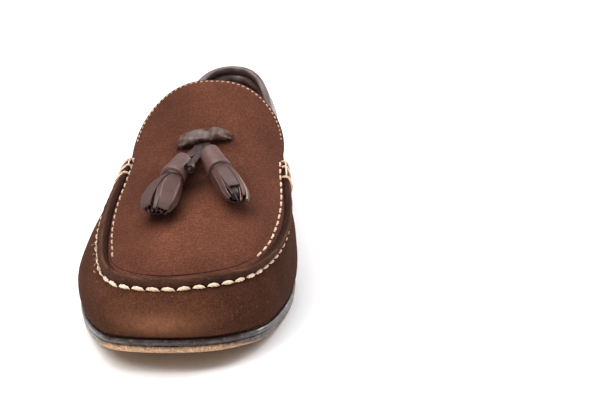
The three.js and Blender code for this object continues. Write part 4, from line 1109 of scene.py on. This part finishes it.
def heel_piece(name, levels, mat, node):
    rws = np.stack(list(heel_rows(levels)))
    b = Build()
    for j in range(len(rws) - 1):
        b.add(rws[j : j + 2], wrap=True, attr=0.0)
    for r, fl in ((rws[-1], False), (rws[0], True)):
        c = r.copy()
        m_ = np.array([r[:, 0].mean(), r[:, 1].mean()])
        lay = []
        for k in np.linspace(0, 1, 9)[:-1]:
            q = r.copy()
            q[:, 0] = q[:, 0] * (1 - k) + m_[0] * k
            q[:, 1] = q[:, 1] * (1 - k) + m_[1] * k
            if node == "heel_stack" and not fl:
                q[:, 2] = under(q[:, 1]) - GAP
            lay.append(q)
        b.add(np.stack(lay), wrap=True, flip=fl, cap1=True)
    return b.piece(name, [mat], node=node)


heel = heel_piece("heel_stack_detail", [(-1.75, lambda s: 0 * s + LIFT_THICK + GAP - 0.25), (-1.5, lambda s: 0 * s + 6.4), (-1.5, lambda s: 0 * s + 9.5), (-1.2, lambda s: np.minimum(13, under(s) - 2)), (-0.95, lambda s: under(s) - 0.7), (-1.1, lambda s: under(s) - 0.12)], STACK, "heel_stack")
lift = heel_piece("top_lift_detail", [(-2.2, lambda s: 0 * s), (-1.7, lambda s: 0 * s + 0.25), (-1.5, lambda s: 0 * s + 0.8), (-1.5, lambda s: 0 * s + LIFT_THICK - 0.4), (-1.75, lambda s: 0 * s + LIFT_THICK)], LIFT, "top_lift")

# ---------------------------------------------------------------- bow
def over_apron(rows_, steps):
    """rows: at, x, s, height; a smooth line of points over the apron and the normals there"""
    f = [natural(rows_, k) for k in (1, 2, 3)]
    a = np.linspace(rows_[0][0], rows_[-1][0], steps)
    p, n = on_apron(f[0](a), f[1](a), f[2](a))
    return a, p, n


BOW = [  # at, x, s, height of the middle, half width, half thickness
    (0, -12, 121.8, 1.5, 2.9, 1.2), (3, -10, 122.2, 2.3, 3.8, 1.6), (8, -5.6, 123.4, 3.5, 4.3, 1.9),
    (14, 0.2, 124.8, 3.9, 4.4, 2.0), (20, 6.2, 126.3, 3.5, 4.2, 1.8), (25, 10.8, 127.6, 2.4, 3.6, 1.5), (28, 13.4, 128.4, 1.5, 2.8, 1.1),
]


def strap(b, a, p, n, wide, thick, tone_fn, seg=40, power=3.0, shape=None):
    f, w, h = sweep_frames(p, n)
    wd, th = wide(a), thick(a)
    base = oval(1, 1, seg, power)
    X = base[None, :, 0] * wd[:, None]
    Y = base[None, :, 1] * th[:, None]
    if shape is not None:
        X, Y = shape(a[:, None], X, Y, base)
    pts = p[:, None] + w[:, None] * X[..., None] + h[:, None] * Y[..., None]
    b.add(pts, wrap=True, attr=tone_fn(a[:, None], base), cap0=True, cap1=True)
    return pts


b = Build()
a, p, n = over_apron(BOW, 90)


def bow_shape(a_, X, Y, base):
    # creases run into both slits, the strap is pinched in the middle, a nick near the back edge
    bx, by = base[None, :, 0], base[None, :, 1]
    top_side = by > 0
    e = bump_of(a_ - 1.5, 6) + bump_of(a_ - 26, 6)
    Y = Y + 0.30 * e * np.sin(bx * 7 + a_ * 0.35) * top_side
    Y = Y - 0.42 * top_side * (1 - bx**2) * bump_of(a_ - 12.5, 3.2)
    Y = Y + 0.45 * top_side * (1 - bx**2) * bump_of(a_ - 7.5, 3.0)
    Y = Y + 0.55 * top_side * (1 - bx**2) * bump_of(a_ - 19.5, 2.2) - 0.5 * top_side * bump_of(bx + 0.2, 0.5) * bump_of(a_ - 22.6, 1.3)
    Y = Y + 0.22 * top_side * np.sin(bx * 4.5 + 0.55 * a_) * (0.4 + np.abs(np.sin(a_ * 0.31)))
    Y = Y - 0.35 * top_side * np.exp(-(((bx - 0.35 + 0.05 * (a_ - 20)) / 0.12) ** 2)) * bump_of(a_ - 21, 4)
    Y = Y - 0.30 * top_side * np.exp(-(((bx + 0.15 + 0.04 * (a_ - 8)) / 0.13) ** 2)) * bump_of(a_ - 8, 6)
    Y = Y - 1.2 * bump_of(a_ - 16.6, 1.1) * bump_of(bx - 0.8, 0.4) * (by > -0.2)
    Y = Y - 0.5 * bump_of(a_ - 17.8, 0.7) * top_side
    X = X * (1 + 0.05 * np.sin(a_ * 0.9) * (bx < 0)) + 0.35 * np.sin(a_ * 0.62 + 0.4) * (bx > 0.3)
    X = X - 0.9 * bump_of(a_ - 16.6, 1.2) * (bx > 0.5)
    return X, Y


# bow tone: painted shade on the underside, at both ends where they dip into the slits and in the nick; the upper face a
# little lighter as painted light; uneven colour besides
strap(b, a, p, n, natural(BOW, 4), natural(BOW, 5), lambda a_, base: -0.16 * np.sin(a_ * 0.75 + base[None, :, 0] * 2.2 + 0.6) - 0.12 * np.sin(a_ * 1.9 - base[None, :, 0] * 3) + 0.04 * (base[None, :, 1] > 0.4) - 0.25 * (base[None, :, 1] < -0.3) - 0.9 * bump_of(a_ - 15.6, 1.0) * bump_of(base[None, :, 0] - 0.75, 0.3) - 0.3 * (bump_of(a_, 2) + bump_of(a_ - 28, 2)), shape=bow_shape)
bow = b.piece("bow_detail", [BOW_TRIM], node="bow")

# slits that take the bow's ends: a dark sheet as each mouth's painted shade, with a torn pale fleck
b = Build()
for sx, ss_ in ((-12.4, 121.6), (13.9, 128.5)):
    k = np.linspace(-1, 1, 15)
    rr = []
    for side_k in (-1, 1):
        q, _ = on_apron(sx + side_k * 0.6 * np.sqrt(np.clip(1 - k**2, 0, 1)), ss_ + k * 2.5, 0.12)
        rr.append(q)
    b.add(np.stack(rr), attr=-0.85, flip=True)
    # a torn pale fleck at the mouth
    fx, fs = (sx - 1.2, ss_ - 2.0) if sx < 0 else (sx + 1.1, ss_ - 0.6)
    q, qn = on_apron(fx + np.array([-0.5, 0.6, 0.3, -0.6]) * 0.9, fs + np.array([-0.4, -0.1, 0.7, 0.4]) * 1.1, np.array([0.25, 0.55, 0.4, 0.2]))
    b.add(q.reshape(2, 2, 3)[:, ::1], attr=1.0)
slits = b.piece("bow_slits", [SUEDE_EDGE])

# ---------------------------------------------------------------- tassels
TASSELS = {
    "outer": dict(path=[(0, -6.1, 105.2, 6.6), (18, -9.9, 88.8, 6.8), (34, -12.7, 74.4, 6.6), (51, -13.9, 58.8, 6.2), (56, -14.1, 54.2, 6.0)], cap=18.0, squash=0.7,
                  cap_r=[(0, 2.6), (0.02, 3.6), (0.07, 4.1), (0.3, 4.9), (0.65, 5.75), (0.92, 6.35), (0.985, 6.35), (1.0, 5.9)],
                  fringe_r=[(0, 5.2), (0.08, 6.0), (0.22, 7.3), (0.45, 8.3), (0.70, 8.7), (0.9, 8.4), (1.0, 7.6)]),
    "inner": dict(path=[(0, 4.7, 110.4, 6.6), (17.6, 11.5, 95, 6.8), (33, 17.6, 82.4, 6.6), (48, 22.2, 70, 6.3), (52, 23.4, 66.6, 6.2)], cap=17.6, squash=0.84,
                  cap_r=[(0, 3.1), (0.02, 4.3), (0.07, 4.8), (0.3, 5.4), (0.65, 5.95), (0.92, 6.35), (0.985, 6.35), (1.0, 5.9)],
                  fringe_r=[(0, 5.2), (0.08, 5.9), (0.22, 6.5), (0.45, 6.7), (0.66, 6.6), (0.86, 6.2), (1.0, 5.1)]),
}
# strips of each fringe: angle round the tassel in degrees (90 is up) and half width at the root, the same at the tip,
# share of the length, how far the tip tucks in, lift, whether its cut edges are pale
STRIPS = {
    "outer": [(120, 31, 125, 22, 1.00, 0.12, 0.25, 0), (56, 31, 50, 22, 1.04, 0.14, 0.1, 1), (10, 18, 5, 14, 0.98, 0.16, 0.2, 1), (166, 17, 170, 15, 0.96, 0.18, 0.0, 0),
              (202, 18, 202, 16, 0.88, 0.32, 0.0, 0), (240, 20, 240, 18, 0.86, 0.36, 0.0, 0), (283, 20, 283, 18, 0.86, 0.36, 0.0, 0), (325, 19, 325, 17, 0.91, 0.3, 0.0, 0),
              (88, 10, 84, 7, 1.06, 0.14, -0.45, 1), (140, 14, 146, 10, 1.02, 0.28, -1.5, 0), (110, 12, 106, 9, 1.04, 0.36, -1.9, 0), (62, 12, 66, 9, 1.03, 0.38, -1.9, 0),
              (30, 13, 28, 10, 1.01, 0.32, -1.5, 0), (178, 14, 178, 12, 0.97, 0.38, -1.5, 0), (340, 14, 340, 12, 0.96, 0.38, -1.4, 0), (95, 20, 95, 18, 0.98, 0.66, -2.8, 0)],
    "inner": [(100, 25, 98, 21, 0.72, 0.04, 0.3, 0), (61, 13, 57, 9, 0.93, 0.12, 0.1, 0), (30, 16, 27, 12, 1.0, 0.10, 0.2, 1), (-8, 15, -10, 12, 0.99, 0.12, 0.1, 0),
              (142, 13, 146, 9, 0.94, 0.05, 0.3, 1), (173, 16, 173, 13, 0.9, 0.16, 0.0, 0), (210, 18, 210, 15, 0.84, 0.35, 0.0, 0), (250, 19, 250, 16, 0.82, 0.4, 0.0, 0),
              (290, 19, 290, 16, 0.82, 0.4, 0.0, 0), (326, 15, 326, 12, 0.9, 0.3, 0.0, 0), (92, 15, 92, 12, 0.86, 0.16, -1.0, 0), (126, 12, 128, 8, 0.84, 0.2, -1.2, 0),
              (70, 10, 66, 7, 1.0, 0.2, -1.2, 1), (112, 14, 112, 11, 0.96, 0.4, -2.0, 0), (44, 13, 42, 9, 0.98, 0.3, -1.5, 0), (8, 13, 8, 9, 0.93, 0.4, -1.6, 0), (160, 13, 160, 10, 0.9, 0.4, -1.6, 0)],
}
for where, T in TASSELS.items():
    f = [natural(T["path"], k) for k in (1, 2, 3)]
    cap_r, fringe_r, squash_f = monotone(T["cap_r"]), monotone(T["fringe_r"]), T["squash"]

    def axis(a_):
        return on_apron(f[0](a_), f[1](a_), f[2](a_))

    def frames(a_):
        p_, n_ = axis(a_)
        fw = unit(axis(a_ + 0.5)[0] - axis(a_ - 0.5)[0])
        w_ = unit(np.cross(n_, fw))
        return p_, w_, np.cross(fw, w_), fw

    end_ = T["path"][-2][0]
    # cap: a rolled sheet, its free edge a low step along the length, its foot cut square over a groove painted dark as
    # shade
    b = Build()
    aa = np.concatenate([np.linspace(0, 0.1, 12), np.linspace(0.12, 0.96, 40), np.linspace(0.965, 1.0, 8)])
    th = np.linspace(0, 2 * np.pi, 96, endpoint=False)
    pc, wc, hc, fc = frames(aa * T["cap"])
    rad = cap_r(aa)[:, None] * np.ones_like(th)[None]
    seam_a = math.radians(200 if where == "outer" else 250)
    step = np.mod(th - seam_a, 2 * np.pi) / (2 * np.pi)
    rad = rad + (0.45 * step - 0.25)[None] * smooth(aa / 0.1)[:, None]
    rad = rad + (0.10 * np.sin(th * 3 + 1)[None] + 0.08 * np.sin(aa * 9)[:, None])
    slant = (0.9 if where == "outer" else -1.1) * np.cos(th)[None] * (1 - smooth(aa / 0.25))[:, None]
    squash = 0.95
    pts = pc[:, None] + wc[:, None] * (rad * np.cos(th))[..., None] + hc[:, None] * (rad * squash * np.sin(th))[..., None] + fc[:, None] * slant[..., None]
    cap_tone = 0.05 * np.sin(th * 2 + 0.5)[None] + 0.0 * rad + 0.14 * bump_of(aa - 0.995, 0.03)[:, None] + 0.05 * bump_of(aa - 0.05, 0.04)[:, None]
    b.add(pts, wrap=True, attr=cap_tone, cap0=True, cap1=True, flip=False)
    # band hidden under the cap's foot that holds the fringe, darkened as painted shade in the groove
    a2 = T["cap"] + np.linspace(-0.5, 1.6, 6)
    p2, w2, h2, f2 = frames(a2)
    r2 = np.array([5.3, 5.35, 5.3, 5.2, 5.0, 4.0])
    b.add(p2[:, None] + w2[:, None] * (r2[:, None] * np.cos(th))[..., None] + h2[:, None] * (r2[:, None] * 0.9 * np.sin(th))[..., None], wrap=True, attr=-0.7, cap0=True, cap1=True)
    cap_o = b.piece("tassel_cap_%s_detail" % where, [TRIM], node="tassel_cap_" + where)
    # fringe: separate cut strips with pale raw edges
    b = Build()
    flen = end_ - T["cap"] - GAP - 0.2
    for (deg, hw, deg1, hw1, share, tuck, lift_, pale) in STRIPS[where]:
        am = np.linspace(0, share, 46)
        pos = T["cap"] + GAP + 0.2 + am * flen
        pf, wf, hf, ff = frames(pos)
        cross = np.linspace(-1, 1, 13)
        thc = np.radians(deg + (deg1 - deg) * am) + 0.05 * np.sin(am * 5 + deg)
        half_a = np.radians(hw + (hw1 - hw) * am)
        r_mid = fringe_r(np.clip(am, 0, 1.0)) * (1 - tuck * smooth((am - share + 0.34) / 0.34) ** 1.7)
        r_mid = r_mid + (lift_ * am * 2 if lift_ > 0 else lift_ * smooth(am / 0.12))
        q = {}
        thick = 0.8
        for layer, dr in (("o", 0.0), ("i", -thick)):
            ang2 = thc[:, None] + half_a[:, None] * cross[None]
            # strips are flat, not round: radius grows towards their edges
            flat_r = r_mid[:, None] * (np.cos(half_a * 0.55)[:, None] / np.cos(half_a[:, None] * cross[None] * 0.8))
            flat_r = flat_r - 0.18 * am[:, None] * (1 - cross[None] ** 2) + dr
            q[layer] = pf[:, None] + wf[:, None] * (flat_r * np.cos(ang2))[..., None] + hf[:, None] * (flat_r * squash_f * np.sin(ang2))[..., None]
        topp, bott = q["o"], q["i"]
        # strip tone: painted shade on the sunken inner strips, at the roots under the cap and at the tucked tips;
        # undersides and root ends darkened as painted shade
        base_tone = 0.04 * np.sin(deg) - (0.5 if lift_ < -0.9 else 0.0) - (0.12 if where == "outer" else 0.0) - 0.2 * bump_of(am, 0.08)[:, None] * np.ones(13)[None] - 0.45 * smooth((am - share + 0.14) / 0.14)[:, None] + 0.0 * cross[None]
        b.add(topp, attr=base_tone + (0.5 * (smooth((am - 0.1) / 0.2) - 0.6 * smooth((am - 0.75) / 0.2))[:, None] * (np.abs(cross) > 0.99)[None] if pale else 0.0), flip=False)
        b.add(bott, attr=-0.35, flip=True)
        cut = 0.62 if pale else 0.05
        b.add(np.stack([topp[:, 0], bott[:, 0]], 1), attr=cut, flip=True)
        b.add(np.stack([topp[:, -1], bott[:, -1]], 1), attr=cut, flip=False)
        b.add(np.stack([topp[-1], bott[-1]], 0), attr=0.15 if share > 0.9 else -0.1, flip=False)
        b.add(np.stack([topp[0], bott[0]], 0), attr=-0.3, flip=True)
    # inner core strips seen in the hollow end, painted dark as the hollow's shade
    a3 = T["cap"] + np.linspace(0.3, flen * 0.86, 16)
    p3, w3, h3, f3 = frames(a3)
    th3 = np.linspace(0, 2 * np.pi, 40, endpoint=False)
    r3 = (fringe_r(np.linspace(0, 0.84, 16)) * np.linspace(1, 0.62, 16) - 2.6)[:, None] * (1 + 0.14 * np.sin(th3 * 7))[None]
    b.add(p3[:, None] + w3[:, None] * (r3 * np.cos(th3))[..., None] + h3[:, None] * (r3 * squash_f * np.sin(th3))[..., None], wrap=True, attr=-0.75, cap0=True, cap1=True)
    fr_o = b.piece("tassel_fringe_%s_detail" % where, [FRINGE], node="tassel_fringe_" + where)

# ---------------------------------------------------------------- laces
LACES = {
    "outer": [(0, -1.9, 119.8, 1.7), (4, -2.5, 115.6, 2.7), (9, -4.1, 110.2, 4.8), (13, -5.3, 106.6, 6.2)],
    "inner": [(0, 2.2, 120.8, 1.9), (3, 2.7, 117.6, 3.1), (6, 3.5, 114.9, 4.9), (9, 4.2, 112.2, 6.2)],
}
for where, rows_ in LACES.items():
    b = Build()
    a, p, n = over_apron(rows_, 30)
    strap(b, a, p, n, lambda q: 0 * q + 2.1, lambda q: 0 * q + 0.95, lambda a_, base: 0.15 * (np.abs(base[None, :, 0]) > 0.9) - 0.6 + 0 * a_, seg=24, power=3.2)
    if where == "outer":
        # the lace's other end lies beside the cap and ends in a small curl
        extra = [(0, -0.6, 120.8, 1.7), (6, -0.4, 114.5, 3.0), (12, -1.2, 106.5, 5.2), (18, -2.3, 99.8, 7.2)]
        a, p, n = over_apron(extra, 30)
        strap(b, a, p, n, lambda q: 0 * q + 1.9, lambda q: 0 * q + 0.8, lambda a_, base: 0.15 * (np.abs(base[None, :, 0]) > 0.9) - 0.66 + 0 * a_, seg=24, power=3.2)
        c0, cn = on_apron(np.array([-1.9]), np.array([92.4]), np.array([10.2]))
        fwd = unit(p[-1] - p[-4])
        wv = unit(np.cross(cn[0], fwd))
        tw = np.linspace(0, 3.6 * np.pi, 80)
        rr = 3.0 - 2.0 * tw / tw[-1]
        pts_c = c0[0] + wv * (rr * np.cos(tw + 1.9))[:, None] * 0.9 + cn[0] * (rr * np.sin(tw + 1.9))[:, None]
        dirs = unit(np.gradient(pts_c, axis=0))
        outd = np.cross(np.broadcast_to(fwd, dirs.shape), dirs)
        base = oval(1.9, 0.36, 16, 3.2)
        b.add(pts_c[:, None] + fwd * base[None, :, :1] + outd[:, None] * base[None, :, 1:], wrap=True, attr=np.broadcast_to(0.2 * (np.abs(base[:, 0]) > 1.7) - 0.62, (80, 16)), cap0=True, cap1=True)
    b.piece("lace_%s_detail" % where, [TRIM], node="lace_" + where)

# ---------------------------------------------------------------- floor and light
floor_m = Mat("floor")
floor_m.set(Roughness=0.75, Specular_IOR_Level=0.15)
floor_m.link(floor_m.mix(floor_m.ramp(floor_m.noise(3, 2, 0.5), [(0.3, 0.0), (0.7, 1.0)]), (0.90, 0.90, 0.91, 1), (0.92, 0.92, 0.925, 1)), "Base Color")
floor_m.b.inputs["Emission Color"].default_value = (1, 1, 1, 1)
far = floor_m.math("ADD", floor_m.node("ShaderNodeSeparateXYZ", {0: floor_m.co}).outputs[1], 2.2)
floor_m.link(floor_m.ramp(far, [(0.0, 0.0), (1.0, 0.5)]), "Emission Strength")
bpy.ops.mesh.primitive_plane_add(size=14, location=(0, 3, 0))
floor = bpy.context.object
floor.name = "floor"
floor.data.materials.append(floor_m.m)

world = bpy.data.worlds.new("studio")
bpy.context.scene.world = world
world.use_nodes = True
bg = world.node_tree.nodes["Background"]
bg.inputs[0].default_value = (0.97, 0.98, 1.0, 1)
bg.inputs[1].default_value = 0.42
bpy.context.scene.view_settings.view_transform = "Standard"


def area(name, at, aim, size, watts, colour=(1, 1, 1)):
    l = bpy.data.lights.new(name, "AREA")
    l.shape = "RECTANGLE"
    l.size, l.size_y = size
    l.energy = watts
    l.color = colour
    ob = bpy.data.objects.new(name, l)
    bpy.context.scene.collection.objects.link(ob)
    ob.location = at
    d = np.array(aim, float) - np.array(at, float)
    ob.rotation_euler = (math.acos(-d[2] / np.linalg.norm(d)), 0, math.atan2(d[1], d[0]) - math.pi / 2)
    return ob


area("top", (-0.2, 0.0, 1.35), (0, 0, 0.05), (1.5, 1.5), 27)
area("front_left", (-0.75, -0.8, 1.2), (0, -0.05, 0.05), (0.6, 0.6), 10, (1.0, 0.985, 0.96))
area("right_back", (1.0, 0.9, 0.6), (0, 0.1, 0.06), (0.9, 0.6), 11, (1.0, 0.96, 0.96))
